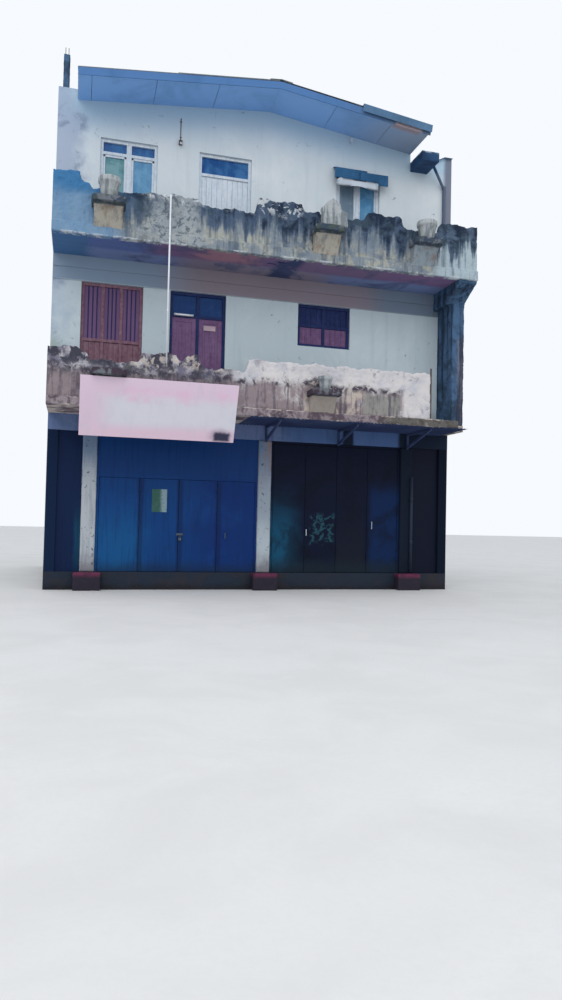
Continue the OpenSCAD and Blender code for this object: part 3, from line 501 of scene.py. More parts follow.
def wet_concrete():
    """Shop floor edge, dark with wet and splashed dirt."""
    f = Finish("Wet floor edge", "#252f3d")
    f.coat("patches", "#302f36", f.stains(1.4, 0.42, 0.62))
    f.coat("splash", "#1f1e22", f.past(f.z, 0.16, 0.02, scale=4, share=0.7))
    return f.end(0.55, f.plaster(6, 50, 0.5), 0.015)


def column_wash():
    """Street columns: rubbed white paint with browner streaks towards the beam, painted shade that turns them
    blue-grey there, and painted shadow over the third column.
    """
    f = Finish("Rubbed column paint", "#b0b5bb")
    shade = f.past(f.z, 1.9, 3.0, waver=0.5, share=0.9)
    second = f.between(f.x, -0.1, 0.4, 0.0)
    f.coat("rubbed", "#8f98a1", f.runs(26, 1.2, 0.46, 0.64, share=0.8))
    f.coat("second", "#8f9aa6", second)
    # the second column is paler towards its foot
    f.coat("paler foot", "#b3bec5", second, f.past(f.z, 1.7, 1.0, waver=0.5, scale=3, share=0.8))
    # painted shade: blue-grey towards the beam, under the canopy
    f.coat("shade", "#627a97", shade)
    f.coat("brown", "#87797b", second, shade, f.runs(12, 1.5, 0.42, 0.58, seed=4))
    f.coat("foot", "#7d7c83", f.past(f.z, 0.8, 0.42, waver=0.5, scale=5, share=0.85))
    f.coat("specks", "#434c58", f.stains(13, 0.6, 0.65, seed=2, share=0.9))
    # painted shadow: the third column, in the dark bay, is nearly black
    f.coat("dark bay", "#151e2d", f.edge(f.x, 2.9, 3.1))
    return f.end(0.8, f.plaster(12, 70, 0.5), 0.008)


def maroon_floor_paint():
    """Column bases: maroon floor paint, worn and dark down the front."""
    f = Finish("Maroon floor paint", "#66304a")
    f.coat("wear", "#4a2b3f", f.stains(6, 0.46, 0.6))
    f.coat("front", "#2d2935", f.past(f.z, shop_floor - 0.03, shop_floor - 0.12, waver=0.08, scale=6))
    return f.end(0.5, f.plaster(8, 50, 0.4), 0.01)


def beam_wash():
    """Beam over the doorways: pale blue wash, bluer to the right, with painted shadow in two dark stretches.
    """
    f = Finish("Blue beam wash", "#6b7ca6")
    f.coat("patches", "#5a7096", f.stains(1.3, 0.4, 0.62))
    f.coat("right", "#4a6798", f.past(f.x, 0.3, 0.8, share=0.8))
    f.coat("runs", "#3d4c6c", f.runs(6, 1.0, 0.5, 0.7, share=0.6))
    # painted shadow: two dark stretches, one near the middle and one at the right end in the dark bay
    f.coat("dark", "#1c2638", f.sum_of("ADD", f.between(f.x, 1.79, 2.03, 0.05, 0.03),
                                       f.past(f.x, 3.03, 3.15, waver=0.1), True))
    return f.end(0.85, f.plaster(4, 60, 0.3), 0.01)


def side_wash():
    """Hidden sides: the same wash, greyer, with runs from the eaves and moss at the foot."""
    f = Finish("Side wall wash", "#aeb2b5")
    foot = f.past(f.z, 1.3, 0.3, waver=1.4, scale=1.2)
    aside = f.sum_of("ABSOLUTE", f.x, 0.0)
    street = f.both(f.edge(f.y, wall_face + 0.4, wall_face + 0.35),
                    f.edge(f.z, beam_high + 0.02, beam_high),
                    f.edge(aside, right_end - 0.002, right_end - 0.008))
    f.coat("clouds", "#c0c2c2", f.stains(0.5, 0.42, 0.66, seed=11))
    f.coat("runs", "#8d9294", f.runs(3.5, 0.22, 0.47, 0.72, seed=5, share=0.7))
    f.coat("black", "#4f5658", f.runs(8, 0.3, 0.52, 0.7, seed=1), f.stains(0.4, 0.46, 0.6, seed=2))
    f.coat("foot", "#84827d", foot)
    f.coat("moss", "#565c4c", foot, f.stains(2.2, 0.44, 0.6, seed=8))
    # the front ends and inner faces near the street go navy: blue paint at the left end, painted shade on the
    # inner faces, and still darker painted shade at the right end
    f.coat("street", "#142440", street)
    f.coat("shaded", "#0e1728", street, f.edge(f.x, 0.0, 0.5))
    return f.end(0.93, f.plaster(2.4, 60, 0.4), 0.015)


# %% [markdown]
# ## Steel, timber, sheets and glass
# The shop doors are flat steel sheet under blue enamel that has faded unevenly, with painted shadow making
# the right doorway near-black. The timber has a grain that runs up each board, and the panes are dusty, with
# the pale sky that they reflect painted into their colour.

# %% Mix the finishes of the lighter pieces
def enamel(name, base, dull, pale_patch_and_eaves_shade, rust_amount=0.25, roughness=0.45):
    """Brushed enamel on sheet steel: uneven fading, rust at scratches."""
    f = Finish(name, base)
    f.coat("fade", dull, f.stains(0.8, 0.4, 0.65, seed=4))
    f.coat("lit", pale_patch_and_eaves_shade, f.stains(0.9, 0.52, 0.72, seed=12, share=0.7))
    f.coat("brush", dull, f.runs(22, 1.2, 0.45, 0.7, share=0.35))
    f.coat("rust", "#3d2f3a", f.stains(11, 0.64, 0.7, seed=6, share=rust_amount))
    return f.end_steel(roughness)


def door_blue():
    """Left doorway: blue enamel, teal low on the left leaf, deeper to the right, dull on the
    fixed panel above the leaves, with dirt along the foot."""
    f = Finish("Blue shutter enamel", "#0b3c76")
    low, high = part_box("left_shutter_leaves")
    folds = 0.0
    for number in (1, 2, 3):
        fold = low.x + number*(high.x - low.x)/4
        folds = f.sum_of("ADD", f.between(f.x, fold - 0.04, fold + 0.08, 0.05, 0.03, 2), folds, True)
    folds = f.both(folds, f.past(f.z, high.z, high.z - 0.02, waver=0.0, share=0.6))
    f.coat("teal", "#12548a", f.past(f.x, -2.1, -2.6, waver=0.5, share=0.8),
           f.past(f.z, 2.0, 0.8, waver=0.5))
    f.coat("deep", "#0a2e6a", f.past(f.x, -1.9, -0.9, waver=0.4, scale=1.5))
    f.coat("header", "#0f3870", f.past(f.z, 2.1, 2.4, waver=0.1, share=0.85))
    f.coat("fade", "#114481", f.stains(0.9, 0.5, 0.7, seed=12, share=0.5))
    f.coat("brush", "#08295a", f.runs(22, 1.2, 0.45, 0.7, share=0.5))
    f.coat("folds", "#071d45", folds)
    f.coat("foot", "#15283f", f.past(f.z, 0.62, 0.38, waver=0.3, scale=4, share=0.6))
    f.coat("rust", "#2b2a3d", f.stains(10, 0.62, 0.68, seed=6, share=0.5))
    return f.end_steel(0.45)


def corner_navy():
    """Fixed corner panels: navy, teal low on the left one, and painted near-black on the right one for the
    shade of the dark bay.
    """
    f = Finish("Navy panel enamel", "#081f44")
    f.coat("teal", "#0e4460", f.past(f.x, -3.75, -3.65, waver=0.1, share=0.8),
           f.between(f.z, 0.5, 1.5, 0.6, 0.4, 2))
    f.coat("brush", "#061633", f.runs(22, 1.2, 0.45, 0.7, share=0.4))
    # painted shade: the right panel stands in the dark bay
    f.coat("right", "#0a1226", f.edge(f.x, 0.0, 0.5))
    return f.end_steel(0.5)


SCRATCHED_X, SCRATCHED_Z = (1.12, 1.64), (0.98, 1.55)


def shadow_enamel():
    """Right doorway: dark blue enamel painted near-black for the shadow the bay stands in, teal low on the
    left leaf, blue on the right one, and a scratched patch over the middle."""
    f = Finish("Dark shutter enamel", "#07112a")
    f.coat("teal", "#114a68", f.past(f.x, 1.05, 0.5, waver=0.4),
           f.past(f.z, 2.3, 0.9, waver=0.5))
    f.coat("blue", "#08254f", f.past(f.x, 2.38, 2.55, waver=0.1, scale=3, share=0.9),
           f.past(f.z, 2.5, 1.9, waver=0.4))
    f.coat("grime", "#050b1a", f.stains(1.6, 0.45, 0.62, seed=2, share=0.55))
    f.coat("brown", "#161b28", f.between(f.x, 1.7, 2.35, 0.2),
           f.past(f.z, 1.9, 0.6, waver=0.6, share=0.7))
    f.coat("foot", "#182530", f.past(f.z, 0.75, 0.4, waver=0.3, scale=3, share=0.8))
    f.coat("patch", "#28525f", f.between(f.x, *SCRATCHED_X, 0.4, 0.05, 5),
           f.between(f.z, *SCRATCHED_Z, 0.5, 0.06, 5), f.stains(10, 0.46, 0.58, seed=21, share=0.8))
    return f.end_steel(0.55)


def timber(name, base, dark, light, roughness=0.6):
    """Painted boards: grain drawn along the height, dirt in the lower parts."""
    f = Finish(name, base)
    f.coat("fade", light, f.stains(1.8, 0.45, 0.7, seed=5))
    f.coat("grain", dark, f.runs(40, 2.0, 0.42, 0.7, share=0.6))
    f.coat("chips", light, f.chips(0.54, 0.62, scale=14, share=0.6))
    return f.end(roughness, f.runs(60, 3.0, 0.3, 0.8), 0.002)


def dusty_glass(name, base, dust_and_sheen):
    """A dusty pane painted with the pale sky that it reflects more than the room, and with paler dust and
    sheen.
    """
    f = Finish(name, base)
    dust = f.stains(2.5, 0.42, 0.66, seed=7, share=0.8)
    rough = add(f.tree, "MapRange", {"Value": dust, "To Min": 0.12, "To Max": 0.5}).outputs["Result"]
    # paler dust, with painted sheen, in one colour
    f.coat("dust", dust_and_sheen, dust)
    f.coat("runs", dust_and_sheen, f.runs(12, 0.8, 0.48, 0.7, share=0.5))
    return f.end(rough)


def soffit_paint(name, base, end, stain):
    """Eaves sheets: blue paint, greyer towards the right end, with damp at the joints."""
    f = Finish(name, base)
    f.coat("brown", end, f.past(f.x, 0.9, 3.2, waver=0.6, scale=0.8))
    f.coat("damp", stain, f.stains(1.1, 0.48, 0.68, seed=9, share=0.6))
    f.coat("rosy", "#a5979f", f.between(f.x, 2.45, 3.05, 0.1, 0.03),
           f.edge(f.y, balcony_face + 0.45, balcony_face + 0.4))
    return f.end(0.75, f.plaster(2, 40, 0.0), 0.004)


def balcony_lining():
    """Boards under the upper balcony: navy, purple and red stains along the front, greyer
    near the wall."""
    f = Finish("Balcony lining stain", "#7485b0")
    front = f.past(f.y, balcony_face + 0.7, balcony_face + 0.5, waver=0.12, scale=1)
    f.coat("front", "#5b6ea4", front)
    f.coat("mid", "#877f92", f.between(f.x, -1.9, 1.2, 0.8, 0.4, 1),
           f.past(f.y, balcony_face + 0.5, balcony_face + 0.7, waver=0.1))
    f.coat("purple", "#7b648a", front, f.past(f.x, -2.7, -2.2, waver=0.3, scale=1))
    f.coat("red", "#a07888", front, f.between(f.x, -1.6, -0.3, 0.5, 0.25, 1))
    f.coat("plum", "#7b6888", front, f.between(f.x, 0.6, 2.2, 0.5, 0.25, 1))
    f.coat("leak", "#3f496c", f.between(f.x, 0.0, 0.5, 0.3, 0.1, 3), f.stains(2, 0.4, 0.52, seed=4))
    f.coat("soot", "#4c5678", f.stains(1.3, 0.48, 0.66, seed=15, share=0.7))
    f.coat("sea", "#486f9c", f.past(f.x, -3.4, -3.8, waver=0.3))
    return f.end(0.8, f.plaster(3, 50, 0.0), 0.004)


def sheeting(name, base, moss, pale):
    """Fibre-cement or metal roof sheets with lichen and run-off down the slope."""
    f = Finish(name, base)
    f.coat("band", pale, f.stains(0.5, 0.45, 0.6, seed=5, share=0.6))
    f.coat("lichen", moss, f.stains(1.4, 0.46, 0.8, seed=3, share=0.8))
    f.coat("spots", pale, f.stains(9, 0.58, 0.68, seed=8, share=0.7))
    return f.end(0.85, f.plaster(8, 80, 0.3), 0.006)


def sign_film():
    """Sign sheet: sun-bleached white, pink where print has faded, soot at one corner."""
    f = Finish("Faded sign sheet", "#d8d7e0")
    low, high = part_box("sign_board")
    soot_at = (low.x + 2.61, low.y + 0.4, low.z + 0.11)
    spread = vector_math(f.tree, "SUBTRACT", f.place, soot_at)[0]
    spread = vector_math(f.tree, "MULTIPLY", spread, (0.8, 0.4, 1.4))[0]
    reach = vector_math(f.tree, "LENGTH", spread)["Value"]
    f.coat("rim left", "#dec6d8", f.past(f.x, low.x + 0.7, low.x + 0.1, waver=0.3, scale=1))
    f.coat("rim low", "#e0c6d6", f.past(f.z, low.z + 0.32, low.z + 0.1, waver=0.15, scale=1.5))
    f.coat("rim high", "#e1cadc", f.past(f.z, high.z - 0.42, high.z - 0.22, waver=0.15, scale=1.5))
    f.coat("band", "#e5b4d0", f.stains(3, 0.42, 0.62, seed=5, share=0.4),
           f.between(f.z, high.z - 0.42, high.z - 0.16, 0.06, 0.05),
           f.between(f.x, low.x + 0.75, high.x - 0.15, 0.1))
    f.coat("dirt", "#c0bfcb", f.runs(5, 0.5, 0.5, 0.75, seed=2, share=0.25))
    f.coat("halo", "#5c5a72", f.past(reach, 0.26, 0.05, waver=0.12, scale=8, share=0.5))
    f.coat("soot", "#3a3a50", f.between(f.x, low.x + 2.48, low.x + 2.79, 0.1, 0.04, 8),
           f.between(f.z, low.z + 0.015, low.z + 0.17, 0.08, 0.03, 8))
    return f.end(0.5, f.plaster(1.5, 20, 0.0), 0.006)


def gutter_enamel():
    """Gutters: dark blue enamel with pale bits at the top; the downpipe is grey."""
    f = Finish("Gutter enamel", "#2b4b70")
    f.coat("fade", "#21395a", f.stains(2, 0.45, 0.65, seed=4))
    f.coat("worn", "#a9b8c8", f.past(f.z, 9.4, 9.44, waver=0.02), f.stains(6, 0.48, 0.54, seed=5))
    f.coat("pipe", "#59657a", f.edge(f.z, 9.22, 9.18))
    return f.end(0.6)


def cement_cast():
    """Pots: pale cast cement, darker rims and a green tinge."""
    f = Finish("Cast pot cement", "#a8adb0")
    f.coat("green", "#8a948c", f.stains(6, 0.48, 0.64, share=0.6))
    f.coat("runs", "#5d6670", f.runs(14, 2, 0.46, 0.62, share=0.7))
    return f.end(0.85, f.plaster(20, 90, 0.5), 0.004)


def blank_bill():
    """A bill whose print has gone: greenish on the left, bare paper on the right."""
    f = Finish("Bleached paper", "#8298a0")
    f.coat("green", "#255243", f.past(f.x, -2.0, -2.07, waver=0.06, scale=9, share=0.9))
    f.coat("foxed", "#4c6a72", f.stains(14, 0.5, 0.62, seed=2, share=0.5))
    return f.end(0.7)


def lamp_glass():
    """The bare tube of the lamp over the first-floor door, unlit."""
    return Finish("Lamp tube glass", "#eef2f6").end(0.25, shine=0.4)


def pipe_plastic():
    """Pipes: white on the balconies, painted dull blue-grey low in the street for the shade there."""
    f = Finish("Pipe plastic", "#dde1e7")
    f.coat("dirt", "#b9c1cb", f.runs(20, 1, 0.5, 0.7, share=0.5))
    # painted shade: the pipes low in the street are dull blue-grey
    f.coat("street", "#2b3546", f.edge(f.z, 3.3, 3.1))
    return f.end(0.5)


FINISHES = {
    "first_wash": limewash("First-floor limewash", first_floor, 7.2, -3.9, "#bac8cf", "#c8d3d9",
                           "#a0b0bb", "#aebec8"),
    "second_wash": limewash("Second-floor limewash", second_floor, 10.05, -3.55, "#ccd5da", "#d8dde1",
                            "#b4bec6", "#a5c2d6"),
    "mould": mould_black(), "run_off": run_off(), "ledge": ledge_cement(), "moss": pier_cement(),
    "slab": slab_concrete(), "wet": wet_concrete(), "column": column_wash(),
    "maroon_floor": maroon_floor_paint(), "beam": beam_wash(), "side": side_wash(),
    "blue": door_blue(), "shadow": shadow_enamel(),
    "navy": corner_navy(),
    "blind": enamel("Blind enamel", "#3a6a92", "#2b5277", "#5483a6", 0.4),
    "blind_white": enamel("Pale blind sheet", "#c3ccd6", "#a7b3c0", "#d6dde4", 0.2),
    "grey_steel": enamel("Grey door enamel", "#5a6470", "#48515c", "#6b7580", 0.6),
    "bare": enamel("Rusty bare steel", "#5c5552", "#4a3f3b", "#77706c", 0.9, 0.7),
    "canopy": enamel("Canopy sheet", "#3f4d72", "#303c60", "#566280", 0.8, 0.7),
    "gutter": gutter_enamel(),
    "tray": enamel("Pale flashing sheet", "#557698", "#45637f", "#8398ad", 0.6, 0.6),
    "maroon": timber("Maroon joinery paint", "#6c5076", "#4b3759", "#7d6186"),
    "dark_maroon": timber("Shaded joinery paint", "#202d59", "#171f43", "#2d3a68"),
    "brown": timber("Dull screen timber", "#7b5a68", "#563a48", "#917684"),
    "white_paint": timber("White joinery paint", "#c6d1dc", "#9eabb9", "#dae1e8", 0.55),
    "teal_glass": dusty_glass("Teal pane", "#4a7f8a", "#7fa5ac"),
    "blue_glass": dusty_glass("Blue pane", "#4b81ab", "#72a2c2"),
    "sky_glass": dusty_glass("Transom pane", "#1c4c86", "#3d73a5"),
    "dark_glass": dusty_glass("Dark pane", "#17396e", "#264b7c"),
    "grey_glass": dusty_glass("Grey pane", "#667b8d", "#8593a1"),
    "soffit": soffit_paint("Eaves sheet paint", "#88b6ee", "#96a6bd", "#74a0d4"),
    "fascia": soffit_paint("Fascia paint", "#4f76a8", "#5e738c", "#436896"),
    "lining": balcony_lining(),
    "roof": sheeting("Roof sheets", "#7d8690", "#5f6862", "#98a0a8"),
    "sign": sign_film(), "pot": cement_cast(), "bill": blank_bill(), "tube": lamp_glass(),
    "soil": sheeting("Dry pot soil", "#4a4038", "#3a3a2c", "#5e5348"),
    "plate": enamel("Bare door plate", "#b9a3ae", "#a8939f", "#c9b6bf", 0.1, 0.5),
    "plastic": pipe_plastic(),
    "floor": enamel("Studio floor", "#d6d6d6", "#d1d1d1", "#dadada", 0.0, 0.9),
}
studio_floor.data.materials.append(FINISHES["floor"])
print(len(FINISHES), "finishes mixed")

# %% [markdown]
# ## Dress the nodes of the frame
# A CAD node whose shape is right stays as it is and only takes a finish. The table below
# says which. Nodes that a modelled piece replaces later get their finish too, because a
# hidden node may still be looked at by itself.

# %% Give each node its finish
WEARERS = {
    "wet": "plinth", "maroon_floor": "column_bases", "column": "ground_columns", "beam": "ground_beam",
    "side": "ground_side_walls ground_back_wall first_side_walls first_back_wall "
            "second_side_walls second_back_wall",
    "grey_steel": "back_door", "navy": "corner_panels", "bare": "sign_brackets", "sign": "sign_board",
    "blue": "left_shutter_frame left_shutter_leaves", "canopy": "canopy_sheet canopy_brackets",
    "shadow": "right_shutter_frame right_shutter_leaves", "slab": "first_floor_slab",
    "run_off": "first_parapet", "first_wash": "first_front_wall", "second_wash": "second_front_wall",
    "brown": "first_screen roof_purlins", "maroon": "first_door first_window", "pot": "ledge_pots",
    "mould": "second_floor_slab upper_parapet", "ledge": "parapet_ledges", "moss": "right_pier roof_stub",
    "white_paint": "upper_left_window upper_door upper_right_window plain_windows",
    "blind": "window_blind", "roof": "roof_sheet_left roof_sheet_right ridge_cap",
    "soffit": "verge_soffit", "fascia": "verge_boards", "gutter": "roof_gutters",
    "tray": "roof_flashing", "plastic": "front_pipe",
}
dressed = 0
for finish, nodes in WEARERS.items():
    for node in nodes.split():
        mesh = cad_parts[node].data
        mesh.materials.clear()
        mesh.materials.append(FINISHES[finish])
        dressed += 1
print(dressed, "nodes dressed of", len(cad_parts))

# %% [markdown]
# ## Small tools for pieces
# New pieces are modelled as a bmesh: blocks with rounded edges, rods between two points and
# masonry that is remeshed and then pushed in and out, as weather does. Each finished piece
# rides on the house.

# %% Name the modelling helpers
def block(bm, low, high, rounding=0.0, place=Matrix.Identity(4)):
    """A block between two corners of its own place, with rounded edges."""
    low, high = Vector(low), Vector(high)
    box = Matrix.Translation((low + high)/2) @ Matrix.Diagonal((*(high - low), 1.0))
    made = bmesh.ops.create_cube(bm, size=1.0, matrix=place @ box)["verts"]
    if rounding:
        edges = list({edge for vert in made for edge in vert.link_edges})
        bmesh.ops.bevel(bm, geom=edges, offset=rounding, affect="EDGES", segments=2,
                        profile=0.5, material=-1)


def rod(bm, start, end, radius, sides=16):
    """A round bar or pipe between two points."""
    start, end = Vector(start), Vector(end)
    turn = (end - start).to_track_quat("Z", "Y").to_matrix().to_4x4()
    bmesh.ops.create_cone(bm, cap_ends=True, segments=sides, radius1=radius, radius2=radius,
                          depth=(end - start).length,
                          matrix=Matrix.Translation((start + end)/2) @ turn)


def piece(name, bm, finish, replaced=(), smooth=False):
    """Turns a bmesh into a finished piece that rides on the house."""
    mesh = bpy.data.meshes.new(name)
    bm.to_mesh(mesh)
    bm.free()
    made = bpy.data.objects.new(name, mesh)
    scene.collection.objects.link(made)
    mesh.materials.append(FINISHES[finish])
    mesh.shade_smooth() if smooth else mesh.shade_flat()
    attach(made, BODY)
    if replaced:
        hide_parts(*replaced)
    print(name, len(mesh.polygons), "faces")
    return made


def merged_copy(*nodes):
    """A copy of CAD nodes with their loose triangles joined."""
    bm = bmesh.new()
    for node in nodes:
        bm.from_mesh(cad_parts[node].data)
    bmesh.ops.remove_doubles(bm, verts=bm.verts, dist=0.0001)
    bm.verts.index_update()
    return bm


def solids(node):
    """Each separate solid of a node as a bmesh of its own, with its lowest and highest corner,
    left to right."""
    whole = merged_copy(node)
    left, found = set(whole.verts), []
    while left:
        group, edge = set(), [left.pop()]
        while edge:
            vert = edge.pop()
            group.add(vert)
            near = {e.other_vert(vert) for e in vert.link_edges} & left
            left -= near
            edge.extend(near)
        part = whole.copy()
        kept = {vert.index for vert in group}
        bmesh.ops.delete(part, geom=[vert for vert in part.verts if vert.index not in kept], context="VERTS")
        spots = [vert.co for vert in part.verts]
        found.append((part, Vector(map(min, zip(*spots))), Vector(map(max, zip(*spots)))))
    whole.free()
    return sorted(found, key=lambda one: (round(one[1].x, 3), one[1].z, one[1].y))


def solid_boxes(node):
    """The lowest and highest corner of each separate solid of a node, left to right."""
    boxes = []
    for part, low, high in solids(node):
        part.free()
        boxes.append((low, high))
    return boxes


def pushed(made, number, size, depth):
    """Pushes a piece's surface in and out with a cloud of one size."""
    texture = bpy.data.textures.new(f"{made.name} wave {number}", "CLOUDS")
    texture.noise_scale, texture.noise_depth = size, 2
    push = made.modifiers.new(f"Wave {number}", "DISPLACE")
    push.texture, push.strength, push.texture_coords = texture, depth, "LOCAL"


def weathered(name, bm, grain, waves, finish, replaced=()):
    """Masonry as weather leaves it: remeshed at a grain, then pushed in and out by waves,
    each a size and a depth. It stays inside the box of the house."""
    made = piece(name, bm, finish, replaced, smooth=True)
    remesh = made.modifiers.new("Grain", "REMESH")
    remesh.mode, remesh.voxel_size, remesh.use_smooth_shade = "VOXEL", grain, True
    for number, (size, depth) in enumerate(waves):
        pushed(made, number, size, depth)
    shaped = bpy.data.meshes.new_from_object(made.evaluated_get(bpy.context.evaluated_depsgraph_get()))
    made.modifiers.clear()
    made.data = shaped
    for vert in shaped.vertices:
        vert.co = [min(max(c, low), high) for c, low, high in zip(vert.co, cad_low, cad_high)]
    print("  weathered to", len(shaped.polygons), "faces")
    return made


# %% [markdown]
# ## Parapets, slab edges and street columns
# The real parapets are brick with render that has let go in lumps. Modelling each lump would
# take days, and a bump map leaves the skyline straight. So a merged copy of the CAD parapet
# is remeshed into small faces, and two sizes of cloud push its surface about.

# %% Weather the masonry
EDGE_PROUD = 0.014

parapet = merged_copy("upper_parapet")
low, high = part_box("second_floor_slab")
block(parapet, (low.x, low.y - EDGE_PROUD, low.z - EDGE_PROUD), (right_end, low.y + 0.12, high.z + 0.06))
weathered("upper_parapet_worn", parapet, 0.02, ((0.2, 0.026), (0.06, 0.022)),
          "mould", ["upper_parapet"])
for node, grain, waves, finish, slot in (
        ("first_parapet", 0.02, ((0.2, 0.03), (0.06, 0.02)), "run_off", "weathered_render"),
        ("parapet_ledges", 0.013, ((0.12, 0.02), (0.035, 0.008)), "ledge", "mossy_render"),
        ("right_pier", 0.018, ((0.2, 0.025), (0.05, 0.01)), "moss", "mossy_render"),
        ("ground_columns", 0.02, ((0.15, 0.008), (0.04, 0.004)), "column", "column_render"),
        ("column_bases", 0.016, ((0.15, 0.014), (0.04, 0.006)), "maroon_floor", "maroon_paint")):
    weathered(f"{node}_worn", merged_copy(node), grain, waves, finish, [node])

# %% Run rough cement along the lower slab edge
BAND_PROUD, BAND_OVERLAP = 0.012, 0.02

band = bmesh.new()
low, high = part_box("first_floor_slab")
block(band, (low.x, low.y - BAND_PROUD, low.z - BAND_PROUD),
      (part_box("right_pier")[0].x, low.y + BAND_OVERLAP, high.z + BAND_OVERLAP))
weathered("first_slab_edge", band, 0.013, ((0.09, 0.024), (0.03, 0.01)), "slab")

# %% [markdown]
# ## Windows and doors
# Each opening has a timber frame with rounded arrises, and each light in it is filled its own
# way: a sash with a pane, a dark pane alone, boards, a panelled leaf or bars. One function
# works in the plane of any wall, so the plain windows of the hidden sides use it as well.

# %% Describe how a light is filled
FRAME, DEPTH, SASH, PANE = 0.06, 0.09, 0.042, 0.008
BOARD_W, BAR_STEP, ARRIS = 0.115, 0.075, 0.004


def sash_light(parts, place, x0, x1, z0, z1, glass):
    """A sash of four members round one pane."""
    wood, y0, y1 = parts["wood"], 0.02, 0.06
    for low, high in (((x0, y0, z0), (x0 + SASH, y1, z1)), ((x1 - SASH, y0, z0), (x1, y1, z1)),
                      ((x0, y0, z0), (x1, y1, z0 + SASH*1.3)), ((x0, y0, z1 - SASH), (x1, y1, z1))):
        block(wood, low, high, ARRIS, place)
    pane_light(parts, place, x0 + SASH/2, x1 - SASH/2, z0 + SASH/2, z1 - SASH/2, glass)


def pane_light(parts, place, x0, x1, z0, z1, glass):
    """A pane alone, set back in its frame."""
    block(parts[glass], (x0, 0.045, z0), (x1, 0.045 + PANE, z1), 0.0, place)


def board_light(parts, place, x0, x1, z0, z1, finish):
    """Upright boards with small gaps between them."""
    count = max(2, round((x1 - x0)/BOARD_W))
    step = (x1 - x0)/count
    for i in range(count):
        block(parts[finish], (x0 + i*step + 0.0015, 0.03, z0), (x0 + (i + 1)*step - 0.0015, 0.055, z1),
              ARRIS, place)


def panel_light(parts, place, x0, x1, z0, z1, finish):
    """A panelled leaf: stiles, three rails and two raised panels."""
    stile, levels = 0.09, (0.0, 0.42, 1.0)
    inner = z1 - z0 - stile
    for low, high in ((x0, x0 + stile), (x1 - stile, x1)):
        block(parts[finish], (low, 0.02, z0), (high, 0.06, z1), ARRIS, place)
    for level in levels:
        z = z0 + level*inner
        block(parts[finish], (x0 + stile, 0.022, z), (x1 - stile, 0.058, z + stile), ARRIS, place)
    for start, stop in zip(levels, levels[1:]):
        bottom, top = z0 + start*inner + stile, z0 + stop*inner
        block(parts[finish], (x0 + stile, 0.036, bottom), (x1 - stile, 0.052, top), 0.0, place)
        block(parts[finish], (x0 + stile + 0.04, 0.028, bottom + 0.04), (x1 - stile - 0.04, 0.05, top - 0.04),
              0.007, place)


def bar_light(parts, place, x0, x1, z0, z1, finish):
    """Upright bars in front of a board."""
    bars, gap = finish
    count = max(3, round((x1 - x0)/BAR_STEP))
    for i in range(1, count):
        x = x0 + (x1 - x0)*i/count
        rod(parts[bars], place @ Vector((x, 0.03, z0)), place @ Vector((x, 0.03, z1)), 0.01, 8)
    pane_light(parts, place, x0, x1, z0, z1, gap)


# %% Build a frame and fill its lights
def wall_place(low, high):
    """The matrix of a frame's own place, its outer left corner, and its width. The box says
    which wall it is in: a side wall if it runs along y, and otherwise the front or the back."""
    turn, corner, width = 0.0, low, high.x - low.x
    if width < high.y - low.y:
        turn, corner, width = -math.pi/2, (low.x, high.y, low.z), high.y - low.y
    elif low.y > 0:
        turn, corner = math.pi, (high.x, high.y, low.z)
    return Matrix.Translation(corner) @ Matrix.Rotation(turn, 4, "Z"), width


def member(bm, place, x, z, inset):
    """One member of a frame between two widths and two heights, set in from both faces."""
    block(bm, (x[0], inset, z[0]), (x[1], DEPTH - inset, z[1]), 0.005, place)


def joinery(node, wood, rows, mullion=FRAME):
    """Fills each opening of a node with a frame and rows of lights. A row is its share of the
    height, how its lights are filled, and with what finish."""
    parts = defaultdict(bmesh.new)
    frame_bm = parts["wood"]
    for low, high in solid_boxes(node):
        place, width = wall_place(low, high)
        height = high.z - low.z
        for x in (0, width - FRAME):
            member(frame_bm, place, (x, x + FRAME), (0, height), 0)
        for z in (0, height - FRAME):
            member(frame_bm, place, (FRAME/2, width - FRAME/2), (z, z + FRAME), 0.001)
        z0 = FRAME
        for share, lights in rows:
            z1 = z0 + share*(height - 2*FRAME)
            has_transom = z1 < height - FRAME - 0.01
            if has_transom:
                member(frame_bm, place, (FRAME/2, width - FRAME/2), (z1 - FRAME/2, z1 + FRAME/2), 0.004)
            step = (width - 2*FRAME)/len(lights)
            for i, (fill, finish) in enumerate(lights):
                x0 = FRAME + i*step
                if i:
                    member(frame_bm, place, (x0 - mullion/2, x0 + mullion/2), (z0, z1), 0.006)
                left, right = (mullion/2 if inner else 0 for inner in (i, i < len(lights) - 1))
                foot, head = (FRAME/2 if cut else 0 for cut in (z0 > FRAME, has_transom))
                fill(parts, place, x0 + left, x0 + step - right, z0 + foot, z1 - head, finish)
            z0 = z1
    piece(f"{node}_frame", parts.pop("wood"), wood, [node])
    for finish, bm in parts.items():
        piece(f"{node}_{finish}", bm, finish)


joinery("upper_left_window", "white_paint", [
    (0.8, [(sash_light, "teal_glass"), (sash_light, "blue_glass")]),
    (0.2, [(pane_light, "sky_glass")]*2)], mullion=0.1)
joinery("upper_door", "white_paint", [
    (0.83, [(board_light, "white_paint")]), (0.17, [(pane_light, "sky_glass")])])
joinery("upper_right_window", "white_paint", [
    (1.0, [(sash_light, "grey_glass"), (sash_light, "blue_glass")])])
joinery("first_screen", "brown", [
    (0.55, [(board_light, "brown")]*3), (0.45, [(bar_light, ("dark_maroon", "maroon"))]*3)])
joinery("first_door", "dark_maroon", [
    (0.82, [(panel_light, "maroon")]*2), (0.18, [(pane_light, "dark_glass")]*2)])
